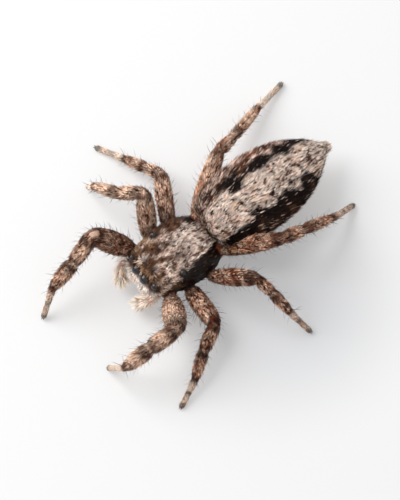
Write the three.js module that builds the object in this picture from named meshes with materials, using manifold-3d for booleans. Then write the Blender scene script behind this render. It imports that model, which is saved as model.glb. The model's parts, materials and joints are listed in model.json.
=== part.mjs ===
// A life-size jumping spider: an adult tan jumping spider standing on its eight feet.
// Millimetres, +Z up. The head faces -Y and the animal's left side is +X.
// The origin is on the floor, under the middle of the whole animal's bounding box.
import * as THREE from 'three';
import { mergeVertices } from 'three/addons/utils/BufferGeometryUtils.js';
import Module from 'manifold-3d';

const wasm = await Module();
wasm.setup();

// Driving dimensions -----------------------------------------------------------------------

// Gap left between two neighbouring sub-parts, so that no two of them share any space.
const JOINT_GAP = 0.03;

// How far a face may move when the slivers that a cut leaves are tidied away.
const CUT_TOLERANCE = 0.012;

// Points nearer to each other than this are one point.
const MERGE_DISTANCE = 1e-4;

// The carapace: the hard back of the head and thorax, a low box with a rounded edge.
// Each curve value is the power by which that edge bends: a higher one turns later and sharper.
const CARAPACE = {
  front: -2.6,
  widest: 0,
  rear: 2.12,
  halfWidth: 1.87,
  faceNarrowing: 0.6,
  faceCurve: 1.7,
  cornerRounding: 0.16,
  cornerCurve: 9,
  rearCurve: 2.7,
  rearFullness: 0.45,
  crownY: -0.3,
  crownZ: 2.62,
  faceDrop: 0.22,
  rearDrop: 1.32,
  rearDropCurve: 1.9,
  marginZ: 1.25,
  clypeusRise: 0.2,
  squareness: 2.8,
  faceInset: 0.14,
  endInset: 0.02,
  sides: 24,
  rings: 16,
};

// The abdomen: a long oval, broadest ahead of its middle and pointed behind.
const ABDOMEN = {
  front: 1.6,
  widest: 5.1,
  rear: 9.5,
  halfWidth: 2.12,
  halfHeight: 1.22,
  frontCurve: 2.9,
  frontFullness: 0.42,
  rearCurve: 2,
  rearFullness: 0.8,
  endInset: 0.35,
  middleZ: 2.02,
  frontRise: 0.16,
  rearDrop: 0.26,
  startX: -0.02,
  leanPerLength: -0.03,
  sides: 18,
  rings: 16,
};

// The sternum: the plate between the leg bases, under the thorax.
const STERNUM = {
  front: -1.35,
  rear: 1.0,
  halfWidth: 0.58,
  lowZ: 0.74,
  highZ: 1.19,
  keelWidth: 0.62,
  keelHeight: 0.45,
  endFullness: 0.45,
  endInset: 0.4,
  rings: 7,
};

// Eyes, as centre on the left side and radius: front middle, front side, small, rear.
// facets are the number of faces around each ball and down it.
const EYES = {
  ame: { at: [0.34, -2.42, 2.1], radius: 0.31, facets: [12, 8] },
  ale: { at: [0.98, -2.3, 2.2], radius: 0.2, facets: [8, 5] },
  pme: { at: [1.22, -1.6, 2.31], radius: 0.06, facets: [8, 5] },
  ple: { at: [1.28, -0.75, 2.35], radius: 0.17, facets: [8, 5] },
};

// Legs, front to back. hip is where the femur starts on the left side, root is where the coxa
// meets the sternum. Lengths run femur, patella, tibia, metatarsus, tarsus. Radii run from the
// base of each segment through its middle to its end. Angles are in degrees, as yaw from
// straight ahead towards the outside and lift above level; the foot takes its own slope.
const LEGS = [
  {
    hip: [1.73, -1.86, 1.2],
    root: [0.6, -1.42, 0.98],
    length: { femur: 2.76, patella: 1.63, tibia: 1.78, metatarsus: 0.88, tarsus: 0.89 },
    radius: {
      coxa: [0.38, 0.41, 0.4],
      femur: [0.4, 0.62, 0.38],
      patella: [0.36, 0.45, 0.4],
      tibia: [0.37, 0.42, 0.24],
    },
    left: { femur: [62, 35], patella: [-1, -4], tibia: [-9, -35], footYaw: -68 },
    right: { femur: [33, 46], patella: [-12, -29], tibia: [-9, -28], footYaw: -28 },
  },
  {
    hip: [1.75, -0.73, 1.06],
    root: [0.68, -0.6, 0.96],
    length: { femur: 2.43, patella: 1.45, tibia: 1.6, metatarsus: 0.71, tarsus: 0.7 },
    radius: {
      coxa: [0.34, 0.36, 0.35],
      femur: [0.34, 0.53, 0.35],
      patella: [0.33, 0.38, 0.34],
      tibia: [0.32, 0.33, 0.24],
    },
    left: { femur: [88, 5], patella: [30, -7], tibia: [35, -19], footYaw: 26 },
    right: { femur: [119, 42], patella: [46, -21], tibia: [65, -27], footYaw: 92 },
  },
  {
    hip: [1.69, 0.48, 1.34],
    root: [0.68, 0.24, 0.96],
    length: { femur: 2.77, patella: 1.03, tibia: 1.41, metatarsus: 0.71, tarsus: 0.92 },
    radius: {
      coxa: [0.33, 0.35, 0.33],
      femur: [0.32, 0.45, 0.36],
      patella: [0.31, 0.35, 0.3],
      tibia: [0.29, 0.32, 0.25],
    },
    left: { femur: [128, 21], patella: [104, -15], tibia: [105, -35], footYaw: 112 },
    right: { femur: [119, -2], patella: [72, -23], tibia: [67, -16], footYaw: 64 },
  },
  {
    hip: [1.16, 1.89, 1.29],
    root: [0.5, 1.08, 0.98],
    length: { femur: 3.64, patella: 1.36, tibia: 2.55, metatarsus: 0.94, tarsus: 1.0 },
    radius: {
      coxa: [0.34, 0.37, 0.35],
      femur: [0.33, 0.53, 0.33],
      patella: [0.32, 0.36, 0.31],
      tibia: [0.29, 0.32, 0.24],
    },
    left: { femur: [140, 35], patella: [176, -22], tibia: [-177, -37], footYaw: -169 },
    right: { femur: [145, 9], patella: [160, -27], tibia: [160, -16], footYaw: 165 },
  },
];

// The end of a tarsus, whose claw tuft is cut flat at the floor.
const FOOT = { radii: [0.23, 0.18, 0.16], centreZ: 0.13 };

// The jaws and the palps on the left side, as a path with the radius at each point.
const CHELICERA = {
  path: [[0.37, -2.25, 1.66], [0.38, -2.39, 1.25], [0.35, -2.43, 0.8]],
  radii: [0.3, 0.34, 0.26],
};
const PALP = {
  path: [[0.68, -2.1, 1.02], [1.18, -2.52, 1.5], [1.24, -2.8, 1.52], [1.0, -3.06, 1.16], [0.68, -3.22, 0.6]],
  radii: [0.25, 0.27, 0.28, 0.3, 0.25],
};
const ENDITE = { path: [[0.22, -1.6, 0.9], [0.25, -2.1, 0.88]], radii: [0.23, 0.26] };
const PEDICEL = { path: [[0, 1.5, 1.42], [0, 2.5, 1.62]], radii: [0.26, 0.26] };

// Spinnerets, under the tip of the abdomen.
const SPINNERET = { spread: 0.17, rootY: 9.05, rootZ: 1.55, tipY: 9.5, tipZ: 1.6, radius: 0.13 };

// The flat-topped dome on each end of a limb segment, against the segment's radius there.
const DOME = { height: 0.84, radius: 0.55 };

// Colours ----------------------------------------------------------------------------------

const COLOURS = {
  pale: 0xb7a99b,
  dark: 0x2b201b,
  leg: 0x9c8169,
  foot: 0x8a7362,
  palp: 0xd9c9ae,
  jaw: 0x3a241c,
  under: 0x6b5645,
  eye: 0x0a0a0d,
};

function finish(colour, roughness = 0.85) {
  return new THREE.MeshStandardMaterial({ color: colour, roughness, metalness: 0 });
}

// How each leg segment is divided and coloured.
const SEGMENT = {
  coxa: { steps: 2, sides: 8, colour: COLOURS.dark },
  femur: { steps: 5, sides: 9, colour: COLOURS.leg },
  patella: { steps: 2, sides: 8, colour: COLOURS.leg },
  tibia: { steps: 3, sides: 8, colour: COLOURS.leg },
  foot: { steps: 1, sides: 8, colour: COLOURS.foot, radii: FOOT.radii },
};

// Shapes -----------------------------------------------------------------------------------

function vector([x, y, z]) {
  return new THREE.Vector3(x, y, z);
}

// The mirror image of a left-side point on the other side of the body.
function onSide(point, side) {
  return [point[0] * side, point[1], point[2]];
}

// A closed surface through rings of points, with a fan over each end.
function loft(rings) {
  const count = rings[0].length;
  const points = rings.flat();
  const faces = [];
  for (let r = 0; r + 1 < rings.length; r += 1) {
    for (let i = 0; i < count; i += 1) {
      const a = r * count + i;
      const b = r * count + ((i + 1) % count);
      faces.push(a, b, b + count, a, b + count, a + count);
    }
  }
  for (const [ring, turned] of [[0, true], [rings.length - 1, false]]) {
    const centre = new THREE.Vector3();
    rings[ring].forEach((p) => centre.addScaledVector(p, 1 / count));
    points.push(centre);
    for (let i = 0; i < count; i += 1) {
      const a = ring * count + i;
      const b = ring * count + ((i + 1) % count);
      faces.push(points.length - 1, turned ? b : a, turned ? a : b);
    }
  }
  return new THREE.BufferGeometry().setFromPoints(points).setIndex(faces);
}

// A round tube through stations of { at, radius }, with a dome on each end.
function tube(stations, sides) {
  const rings = [];
  const side = new THREE.Vector3();
  stations.forEach((station, k) => {
    const before = stations[Math.max(k - 1, 0)].at;
    const after = stations[Math.min(k + 1, stations.length - 1)].at;
    const along = new THREE.Vector3().subVectors(after, before).normalize();
    if (k === 0) {
      side.set(Math.abs(along.z) > 0.9 ? 1 : -along.y, along.x, 0);
    }
    side.addScaledVector(along, -side.dot(along)).normalize();
    const up = new THREE.Vector3().crossVectors(side, along);
    const ring = (offset, radius) => {
      const points = [];
      for (let i = 0; i < sides; i += 1) {
        const turn = (2 * Math.PI * i) / sides;
        points.push(
          station.at
            .clone()
            .addScaledVector(along, offset)
            .addScaledVector(side, radius * Math.cos(turn))
            .addScaledVector(up, radius * Math.sin(turn)),
        );
      }
      return points;
    };
    if (k === 0) {
      rings.push(ring(-DOME.height * station.radius, DOME.radius * station.radius));
    }
    rings.push(ring(0, station.radius));
    if (k === stations.length - 1) {
      rings.push(ring(DOME.height * station.radius, DOME.radius * station.radius));
    }
  });
  return loft(rings);
}

// A straight limb segment whose radius runs smoothly through base, middle and end values.
function segment(from, to, [base, middle, end], steps, sides) {
  const stations = [];
  for (let k = 0; k <= steps; k += 1) {
    const t = k / steps;
    const radius = base * (1 - t) * (1 - 2 * t) + 4 * middle * t * (1 - t) + end * t * (2 * t - 1);
    stations.push({ at: from.clone().lerp(to, t), radius });
  }
  return tube(stations, sides);
}

// A bent tube through a short path of points.
function bent(path, radii, sides, side = 1) {
  return tube(path.map((point, i) => ({ at: vector(onSide(point, side)), radius: radii[i] })), sides);
}

// The carapace's outline at y: half width, margin height and crown height.
function carapaceAt(y) {
  const c = CARAPACE;
  const ahead = Math.max(0, (c.widest - y) / (c.widest - c.front));
  const behind = Math.max(0, (y - c.widest) / (c.rear - c.widest));
  const slope = Math.max(0, (y - c.crownY) / (c.rear - c.crownY));
  const brow = Math.max(0, (c.crownY - y) / (c.crownY - c.front));
  return {
    halfWidth:
      (c.halfWidth - c.faceNarrowing * ahead ** c.faceCurve - c.cornerRounding * ahead ** c.cornerCurve) *
      Math.max(0, 1 - behind ** c.rearCurve) ** c.rearFullness,
    low: c.marginZ + c.clypeusRise * ahead ** 3,
    high: c.crownZ - c.faceDrop * brow ** 2 - c.rearDrop * slope ** c.rearDropCurve,
  };
}

function carapaceGeometry() {
  const c = CARAPACE;
  const rings = [];
  for (let k = 0; k <= c.rings; k += 1) {
    const turn = (Math.PI * k) / c.rings;
    const y = (c.front + c.rear) / 2 - ((c.rear - c.front) / 2) * Math.cos(turn);
    const within = THREE.MathUtils.clamp(y, c.front + c.endInset, c.rear - c.endInset);
    const { halfWidth, low, high } = carapaceAt(within);
    const inset = k === 0 ? c.faceInset : 0;
    const ring = [];
    for (let i = 0; i < c.sides; i += 1) {
      const angle = (2 * Math.PI * i) / c.sides;
      const across = Math.sign(Math.cos(angle)) * Math.abs(Math.cos(angle)) ** (2 / c.squareness);
      const upper = Math.sin(angle) > 0 ? Math.sin(angle) ** (2 / c.squareness) : 0;
      const z = low + (high - low) * (upper * (1 - inset) + inset / 2);
      ring.push(new THREE.Vector3(halfWidth * across * (1 - inset), y, z));
    }
    rings.push(ring);
  }
  return loft(rings);
}

// The abdomen's middle line leans a little to the animal's right.
function abdomenMiddleX(y) {
  return ABDOMEN.startX + ABDOMEN.leanPerLength * (y - ABDOMEN.front);
}

function abdomenGeometry() {
  const a = ABDOMEN;
  const rings = [];
  for (let k = 0; k <= a.rings; k += 1) {
    const turn = (Math.PI * (k + a.endInset)) / (a.rings + 2 * a.endInset);
    const y = (a.front + a.rear) / 2 - ((a.rear - a.front) / 2) * Math.cos(turn);
    const ahead = Math.max(0, (a.widest - y) / (a.widest - a.front));
    const behind = Math.max(0, (y - a.widest) / (a.rear - a.widest));
    const fullness =
      (1 - ahead ** a.frontCurve) ** a.frontFullness * (1 - behind ** a.rearCurve) ** a.rearFullness;
    const middle = a.middleZ + a.frontRise * ahead ** 2 - a.rearDrop * behind ** 2;
    const ring = [];
    for (let i = 0; i < a.sides; i += 1) {
      const angle = (2 * Math.PI * i) / a.sides;
      const x = abdomenMiddleX(y) + a.halfWidth * fullness * Math.cos(angle);
      ring.push(new THREE.Vector3(x, y, middle + a.halfHeight * fullness * Math.sin(angle)));
    }
    rings.push(ring);
  }
  return loft(rings);
}

function sternumGeometry() {
  const s = STERNUM;
  const rings = [];
  for (let k = 0; k <= s.rings; k += 1) {
    const t = (k + s.endInset) / (s.rings + 2 * s.endInset);
    const y = s.front + (s.rear - s.front) * t;
    const halfWidth = s.halfWidth * Math.sin(Math.PI * t) ** s.endFullness;
    const half = [[s.keelWidth, 0], [1, s.keelHeight], [1, 1]];
    const corners = [...half, ...half.map(([x, z]) => [-x, z]).reverse()];
    const height = s.highZ - s.lowZ;
    rings.push(corners.map(([x, z]) => new THREE.Vector3(x * halfWidth, y, s.lowZ + z * height)));
  }
  return loft(rings);
}

// Solids: joining and cutting --------------------------------------------------------------

// A geometry as a solid, with its coincident points merged and its faces turned outwards.
function solid(geometry) {
  const bare = new THREE.BufferGeometry();
  bare.setAttribute('position', geometry.getAttribute('position'));
  bare.setIndex(geometry.index);
  const merged = mergeVertices(bare, MERGE_DISTANCE);
  const triVerts = new Uint32Array(merged.index.array);
  const vertProperties = merged.attributes.position.array;
  const made = new wasm.Manifold(new wasm.Mesh({ numProp: 3, vertProperties, triVerts }));
  if (made.volume() > 0) {
    return made;
  }
  for (let i = 0; i < triVerts.length; i += 3) {
    [triVerts[i + 1], triVerts[i + 2]] = [triVerts[i + 2], triVerts[i + 1]];
  }
  return new wasm.Manifold(new wasm.Mesh({ numProp: 3, vertProperties, triVerts }));
}

function geometryOf(made) {
  const mesh = made.getMesh();
  const geometry = new THREE.BufferGeometry();
  geometry.setAttribute('position', new THREE.BufferAttribute(mesh.vertProperties, mesh.numProp));
  geometry.setIndex(new THREE.BufferAttribute(mesh.triVerts, 1));
  return geometry;
}

// The same solid with every point pushed out along its normal by the joint gap.
function grown(made) {
  const geometry = geometryOf(made);
  geometry.computeVertexNormals();
  const { position, normal } = geometry.attributes;
  for (let i = 0; i < position.count; i += 1) {
    position.setXYZ(
      i,
      position.getX(i) + JOINT_GAP * normal.getX(i),
      position.getY(i) + JOINT_GAP * normal.getY(i),
      position.getZ(i) + JOINT_GAP * normal.getZ(i),
    );
  }
  return solid(geometry);
}

// The largest single body of a solid, so that no loose sliver is left by a cut.
function largest(made) {
  return made.decompose().reduce((a, b) => (a.volume() > b.volume() ? a : b));
}

const spider = new THREE.Group();
const solids = new Map();

// Adds a sub-part, cut clear of the neighbours named, which are already in place.
function add(name, shape, material, neighbours = []) {
  let made = shape instanceof THREE.BufferGeometry ? solid(shape) : shape;
  neighbours.forEach((other) => {
    made = made.subtract(grown(solids.get(other)));
  });
  made = largest(largest(made).simplify(CUT_TOLERANCE));
  solids.set(name, made);
  const mesh = new THREE.Mesh(geometryOf(made), material);
  mesh.name = name;
  spider.add(mesh);
}

// Body -------------------------------------------------------------------------------------

const SIDES = { l: 1, r: -1 };
const eyeMaterial = finish(COLOURS.eye, 0.08);
const eyeNames = [];
for (const [kind, { at, radius, facets }] of Object.entries(EYES)) {
  const [around, down] = facets;
  for (const [letter, side] of Object.entries(SIDES)) {
    const ball = new THREE.SphereGeometry(radius, around, down).rotateX(Math.PI / 2);
    ball.translate(...onSide(at, side));
    add(`eye_${kind}_${letter}`, ball, eyeMaterial);
    eyeNames.push(`eye_${kind}_${letter}`);
  }
}

add('carapace', carapaceGeometry(), finish(COLOURS.pale), eyeNames);
add('abdomen', abdomenGeometry(), finish(COLOURS.pale), ['carapace']);
add('sternum', sternumGeometry(), finish(COLOURS.under), ['carapace']);
add('pedicel', bent(PEDICEL.path, PEDICEL.radii, 8), finish(COLOURS.dark), ['carapace', 'abdomen']);

const [enditeLeft, enditeRight] = Object.values(SIDES).map((side) =>
  solid(bent(ENDITE.path, ENDITE.radii, 8, side)));
add('mouthparts', enditeLeft.add(enditeRight), finish(COLOURS.under), ['sternum', 'carapace']);

function spinneretsSolid() {
  const { spread, rootY, rootZ, tipY, tipZ, radius } = SPINNERET;
  return [1, 0, -1]
    .map((side) => {
      const x = abdomenMiddleX(tipY) + side * spread;
      const from = new THREE.Vector3(x, rootY, rootZ);
      const to = new THREE.Vector3(x, tipY, tipZ);
      return solid(segment(from, to, [1.25 * radius, 1.2 * radius, radius], 1, 7));
    })
    .reduce((a, b) => a.add(b));
}
add('spinnerets', spinneretsSolid(), finish(COLOURS.under), ['abdomen']);

for (const [letter, side] of Object.entries(SIDES)) {
  const jaw = bent(CHELICERA.path, CHELICERA.radii, 8, side);
  const neighbours = ['carapace', 'mouthparts', 'eye_ame_l', 'eye_ame_r'];
  if (side < 0) {
    neighbours.push('chelicera_l');
  }
  add(`chelicera_${letter}`, jaw, finish(COLOURS.jaw, 0.4), neighbours);
}

// Legs and palps ---------------------------------------------------------------------------

// The direction of a limb segment on one side, from its yaw and its lift in degrees.
function heading([yaw, lift], side) {
  const turn = THREE.MathUtils.degToRad(yaw);
  const rise = THREE.MathUtils.degToRad(lift);
  const level = Math.cos(rise);
  return new THREE.Vector3(side * Math.sin(turn) * level, -Math.cos(turn) * level, Math.sin(rise));
}

// A solid parted from the next one by a thin plane cut: what lies on the normal's side stays.
function parted(made, point, normal, gap = JOINT_GAP / 2) {
  return made.trimByPlane(normal.toArray(), normal.dot(point) + gap);
}

// The direction that halves the bend at a joint between two limb segments.
function bend(before, after) {
  return new THREE.Vector3().addVectors(before, after).normalize();
}

function addLeg(number, leg, letter, side) {
  const pose = side > 0 ? leg.left : leg.right;
  const name = (part) => `leg_${letter}${number}_${part}`;
  const joints = [vector(onSide(leg.root, side)), vector(onSide(leg.hip, side))];
  for (const part of ['femur', 'patella', 'tibia']) {
    const last = joints[joints.length - 1];
    joints.push(last.clone().addScaledVector(heading(pose[part], side), leg.length[part]));
  }
  const ankle = joints[4];
  const footLength = leg.length.metatarsus + leg.length.tarsus;
  const slope = THREE.MathUtils.radToDeg(Math.asin((FOOT.centreZ - ankle.z) / footLength));
  joints.push(ankle.clone().addScaledVector(heading([pose.footYaw, slope], side), footLength));

  const parts = ['coxa', 'femur', 'patella', 'tibia', 'foot'];
  const courses = parts.map((_, k) => new THREE.Vector3().subVectors(joints[k + 1], joints[k]).normalize());
  const neighbours = {
    coxa: ['carapace', 'sternum', 'abdomen', 'pedicel', 'mouthparts'],
    femur: ['carapace', 'abdomen'],
  };
  if (number > 1) {
    neighbours.coxa.push(`leg_${letter}${number - 1}_coxa`);
  }
  parts.forEach((part, k) => {
    const { radii, steps, sides } = { ...SEGMENT[part], radii: leg.radius[part] ?? SEGMENT[part].radii };
    let made = solid(segment(joints[k], joints[k + 1], radii, steps, sides));
    if (k > 0) {
      made = parted(made, joints[k], bend(courses[k - 1], courses[k]));
    }
    if (k < parts.length - 1) {
      made = parted(made, joints[k + 1], bend(courses[k], courses[k + 1]).negate());
    } else {
      made = parted(made, new THREE.Vector3(), new THREE.Vector3(0, 0, 1), 0);
    }
    add(name(part), made, finish(SEGMENT[part].colour), neighbours[part] ?? []);
  });
}

LEGS.forEach((leg, index) => {
  for (const [letter, side] of Object.entries(SIDES)) {
    addLeg(index + 1, leg, letter, side);
  }
});

for (const [letter, side] of Object.entries(SIDES)) {
  const palp = bent(PALP.path, PALP.radii, 8, side);
  const legOne = [`leg_${letter}1_coxa`, `leg_${letter}1_femur`];
  const neighbours = ['carapace', 'mouthparts', `chelicera_${letter}`, ...legOne];
  add(`palp_${letter}`, palp, finish(COLOURS.palp), neighbours);
}

// The origin goes on the floor under the middle of the bounding box.
const middle = new THREE.Box3().setFromObject(spider).getCenter(new THREE.Vector3());
spider.position.set(-middle.x, -middle.y, 0);

export default spider;
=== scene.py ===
"""A life-size jumping spider, dressed around its packed solids: skin, eyes, jaws, claws and coat."""

import functools
import itertools
import json
import math
from types import SimpleNamespace

import bmesh
import bpy
import numpy as np
from bpy.props import FloatProperty, FloatVectorProperty, IntProperty, PointerProperty
from bpy.types import Operator, Panel, PropertyGroup
from mathutils import Matrix, Vector, kdtree

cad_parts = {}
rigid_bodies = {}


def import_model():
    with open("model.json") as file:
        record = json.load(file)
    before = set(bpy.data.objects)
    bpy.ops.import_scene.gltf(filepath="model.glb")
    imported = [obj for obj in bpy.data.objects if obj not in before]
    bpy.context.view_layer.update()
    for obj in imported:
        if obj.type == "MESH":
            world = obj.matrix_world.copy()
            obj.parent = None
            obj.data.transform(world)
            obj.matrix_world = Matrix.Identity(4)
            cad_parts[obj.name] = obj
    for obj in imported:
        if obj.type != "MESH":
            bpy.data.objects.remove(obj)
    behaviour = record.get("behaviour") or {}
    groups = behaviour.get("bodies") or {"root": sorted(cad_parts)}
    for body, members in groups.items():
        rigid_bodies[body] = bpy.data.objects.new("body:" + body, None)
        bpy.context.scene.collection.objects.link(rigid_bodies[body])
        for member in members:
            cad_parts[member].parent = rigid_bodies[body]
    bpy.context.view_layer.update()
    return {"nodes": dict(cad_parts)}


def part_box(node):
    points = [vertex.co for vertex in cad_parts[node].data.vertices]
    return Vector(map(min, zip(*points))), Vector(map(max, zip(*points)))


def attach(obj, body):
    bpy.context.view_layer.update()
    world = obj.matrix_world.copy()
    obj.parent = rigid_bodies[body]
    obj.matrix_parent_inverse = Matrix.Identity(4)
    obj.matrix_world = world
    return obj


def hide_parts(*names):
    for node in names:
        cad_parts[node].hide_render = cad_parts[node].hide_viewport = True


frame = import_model()

bl_info = {
    "name": "Jumping Spider",
    "version": (1, 0, 0),
    "blender": (4, 5, 0),
    "location": "View3D > Sidebar > Spider",
    "description": "Skin, eyes, jaws, claws and coat of a life-size jumping spider",
    "category": "Mesh",
}

# Lengths in this file are in millimetres, and meshes are made in metres.
MM = 0.001

# The animal's left side is +X, its right side is -X, and its head faces -Y.
SIDES = {"l": 1, "r": -1}
LEG_NUMBERS = (1, 2, 3, 4)
LEG_PARTS = ("coxa", "femur", "patella", "tibia", "foot")
SKIN = "skin"

# Colours, as they look in plain light -----------------------------------------------------

COLOURS = {
    "cream_hair": "FFEEE2",
    "pale_hair": "F2D6C6",
    "taupe_hair": "BE9F8B",
    "brown_hair": "7A5540",
    "dark_hair": "2C160D",
    "black_hair": "120704",
    "ochre_hair": "D6AC80",
    "rust_hair": "A8653C",
    "white_hair": "FBF6F0",
    "grey_hair": "D8CEC0",
    "leg_cream": "FFDEC4",
    "leg_tan": "EFAF8A",
    "leg_orange": "E28C58",
    "leg_brown": "78351F",
    "leg_dark": "2A150D",
    "foot_pale": "FFF3E6",
    "foot_grey": "6E655C",
    "palp_cream": "FFF3E4",
    "palp_pink": "C0563E",
    "cuticle_black": "0D0503",
    "cuticle_brown": "38190D",
    "cuticle_red": "7A3420",
    "cuticle_amber": "9A6128",
    "membrane": "E9C4AE",
    "jaw_brown": "2E140C",
    "lens_black": "0A050B",
    "lens_rim": "2A160E",
    "floor": "F6F6F6",
    # the colour of the painted shade on the floor beside the body
    "painted_floor_shade": "E0E1E3",
}

# The hairs of each region: least distance between two of them, length and width.
HAIR_SIZES = {
    "body": (0.031, 0.29, 0.047),
    "leg": (0.034, 0.2, 0.042),
    "palp": (0.046, 0.46, 0.04),
    "bristle": (0.22, 0.52, 0.02),
}
HAIR_MEASURES = {"spacing": "Least distance between two", "length": "Length", "width": "Width"}


def linear(code):
    """A six-digit colour as the renderer's red, green and blue."""
    parts = [int(code[i:i + 2], 16) / 255 for i in (0, 2, 4)]
    return tuple(p / 12.92 if p <= 0.04045 else ((p + 0.055) / 1.055) ** 2.4 for p in parts)


def colour_property(name, code):
    words = name.replace("_", " ")
    return FloatVectorProperty(
        name=words.capitalize(),
        description=f"Colour of the {words}",
        subtype="COLOR",
        size=3,
        min=0,
        max=1,
        default=linear(code),
    )


def length_property(name, description, millimetres, least=0.0):
    return FloatProperty(
        name=name,
        description=description,
        default=millimetres * MM,
        min=least,
        precision=6,
        subtype="DISTANCE",
        unit="LENGTH",
    )


def share_property(name, description, default, most=1.0):
    return FloatProperty(
        name=name, description=description, default=default, min=0, max=most, subtype="FACTOR"
    )


def angle_property(name, description, degrees):
    return FloatProperty(
        name=name,
        description=description,
        default=math.radians(degrees),
        subtype="ANGLE",
        unit="ROTATION",
    )


class SpiderColours(PropertyGroup):
    """The colours of the coat, the cuticle, the eyes and the floor."""

    __annotations__ = {name: colour_property(name, code) for name, code in COLOURS.items()}


class SpiderShape(PropertyGroup):
    """Sizes of the skin, the eyes and the claws."""

    coat_depth: length_property("Coat Depth", "How far the skin lies inside the solids", 0.08)
    leg_coat_depth: length_property("Leg Coat Depth", "The same on the legs", 0.09)
    skin_detail: length_property("Skin Detail", "Size of the skin's faces", 0.061)
    skin_smoothing: IntProperty(
        name="Skin Smoothing",
        description="How often the joined skin is evened out",
        default=5,
        min=0,
        max=30,
    )
    joint_pinch: share_property("Joint Pinch", "How much a leg narrows at each joint", 0.15, 0.5)
    eye_lids: FloatProperty(
        name="Eye Rims",
        description="Radius of the skin's cup around each eye, against the eye's own",
        default=1.14,
        min=1,
        max=1.5,
    )
    claw_length: length_property("Claw Length", "Length of each of the two claws on a foot", 0.13)


class SpiderCoat(PropertyGroup):
    """Sizes, disorder and shades of the hairs."""

    __annotations__ = {
        f"{region}_{measure}": length_property(
            f"{region} hair {measure}".title(), f"{words} of the {region} hairs", size
        )
        for region, sizes in HAIR_SIZES.items()
        for (measure, words), size in zip(HAIR_MEASURES.items(), sizes)
    }
    disorder: share_property("Disorder", "How far hairs stray from the lie of the coat", 0.28)
    shade_variation: share_property("Shade Variation", "How much lighter or darker hairs may be", 0.3)
    seed: IntProperty(name="Seed", description="Start of the random draws", default=7, min=0)


class SpiderStage(PropertyGroup):
    """The camera, the lamp and the floor."""

    camera_azimuth: angle_property("Camera Azimuth", "Angle round the animal from in front", 53.7)
    camera_elevation: angle_property("Camera Elevation", "Angle of the camera above the floor", 68)
    camera_distance: length_property("Camera Distance", "From the camera to its target", 200)
    camera_lens: FloatProperty(
        name="Focal Length",
        description="Focal length of the camera",
        default=279.6,
        min=1,
        subtype="DISTANCE_CAMERA",
        unit="CAMERA",
    )
    target_x: length_property("Target Right", "Target's distance from the middle, along X", 0.41, -1)
    target_y: length_property("Target Back", "Target's distance from the middle, along Y", -0.146, -1)
    ambient: share_property("Surrounding Light", "Level of the even light", 0.7)
    floor_glow: share_property("Floor Glow", "How far the floor is white of itself to the camera", 0.32)
    lamp_power: FloatProperty(
        name="Lamp Power",
        description="Power of the soft lamp",
        default=0.215,
        min=0,
        subtype="POWER",
        unit="POWER",
    )
    lamp_azimuth: angle_property("Lamp Azimuth", "Angle of the lamp round the animal", -62)
    lamp_elevation: angle_property("Lamp Elevation", "Angle of the lamp above the floor", 42)
    lamp_distance: length_property("Lamp Distance", "From the lamp to the animal", 150)
    lamp_size: length_property("Lamp Size", "Width of the square lamp", 130)
    floor_radius: length_property("Floor Radius", "Radius of the floor", 700)


def colour(name):
    return np.array(getattr(bpy.context.scene.spider_colours, name))


def in_mm(length):
    return length / MM


# Numbers over points ----------------------------------------------------------------------


def mix(first, second, share):
    """From the first colour to the second, by a share for each point. A colour may be a name."""
    first, second = (colour(tone) if isinstance(tone, str) else tone for tone in (first, second))
    return first + (second - first) * np.clip(share, 0, 1)[..., None]


def ease(low, high, values):
    """0 below low, 1 above high, and a smooth rise between."""
    t = np.clip((values - low) / (high - low), 0, 1)
    return t * t * (3 - 2 * t)


def bump(values, middle, width):
    """A smooth bump of height 1, with that half width."""
    return np.exp(-(((values - middle) / width) ** 2))


def strongest(shares):
    return np.maximum.reduce(list(shares))


def unit(vectors):
    return vectors / np.maximum(np.linalg.norm(vectors, axis=-1, keepdims=True), 1e-12)


def lattice(cells, seed):
    """A number from 0 to 1 for each whole-number cell, always the same one."""
    primes = np.array([374761393, 668265263, 2246822519], np.uint64)
    n = (cells.astype(np.uint64) * primes).sum(-1, dtype=np.uint64) + np.uint64(seed * 3266489917)
    n ^= n >> np.uint64(15)
    n *= np.uint64(2654435761)
    n ^= n >> np.uint64(13)
    n *= np.uint64(1274126177)
    n ^= n >> np.uint64(16)
    return (n & np.uint64(0xFFFFFF)).astype(float) / 0xFFFFFF


def cloud(points, size, seed):
    """Smooth noise from 0 to 1, in patches of about that size."""
    places = points / size + 1000
    cells = np.floor(places).astype(np.int64)
    part = places - cells
    part = part * part * (3 - 2 * part)
    total = np.zeros(len(points))
    for corner in itertools.product((0, 1), repeat=3):
        weight = np.prod(np.where(np.array(corner) > 0, part, 1 - part), axis=1)
        total += weight * lattice(cells + np.array(corner), seed)
    return total


def mottle(points, size, seed):
    """Noise with finer noise in it, from 0 to 1, with its middle at a half."""
    return 0.6 * cloud(points, size, seed) + 0.4 * cloud(points, size * 0.45, seed + 1)


def waver(points, size, seed, reach):
    """Noise about zero, that moves an edge to and fro by half its reach."""
    return reach * (mottle(points, size, seed) - 0.5)


def past_edges(edges, across, along):
    """How far points are beyond a band whose half widths are given at places along each side."""
    return strongest(across * side - np.interp(along, *zip(*knots)) for side, knots in edges.items())


# Measures taken from the packed solids ----------------------------------------------------


def corners(node):
    """A node's own points, once each, in millimetres."""
    return np.unique(np.round(mesh_points(frame["nodes"][node].data) / MM, 4), axis=0)


def span(node):
    """A node's lowest and highest corners, in millimetres."""
    low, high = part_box(node)
    return np.array(low) / MM, np.array(high) / MM


# The body's own measures run from under the widest part of the carapace.
CARAPACE_LOW, CARAPACE_HIGH = span("carapace")
WIDEST_SHARE = 0.551
BODY_ORIGIN = np.array(
    [
        (CARAPACE_LOW[0] + CARAPACE_HIGH[0]) / 2,
        CARAPACE_LOW[1] + WIDEST_SHARE * (CARAPACE_HIGH[1] - CARAPACE_LOW[1]),
        0,
    ]
)

# Two neighbouring leg solids have rims this near to each other.
RIM_GAP = 0.09


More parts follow.
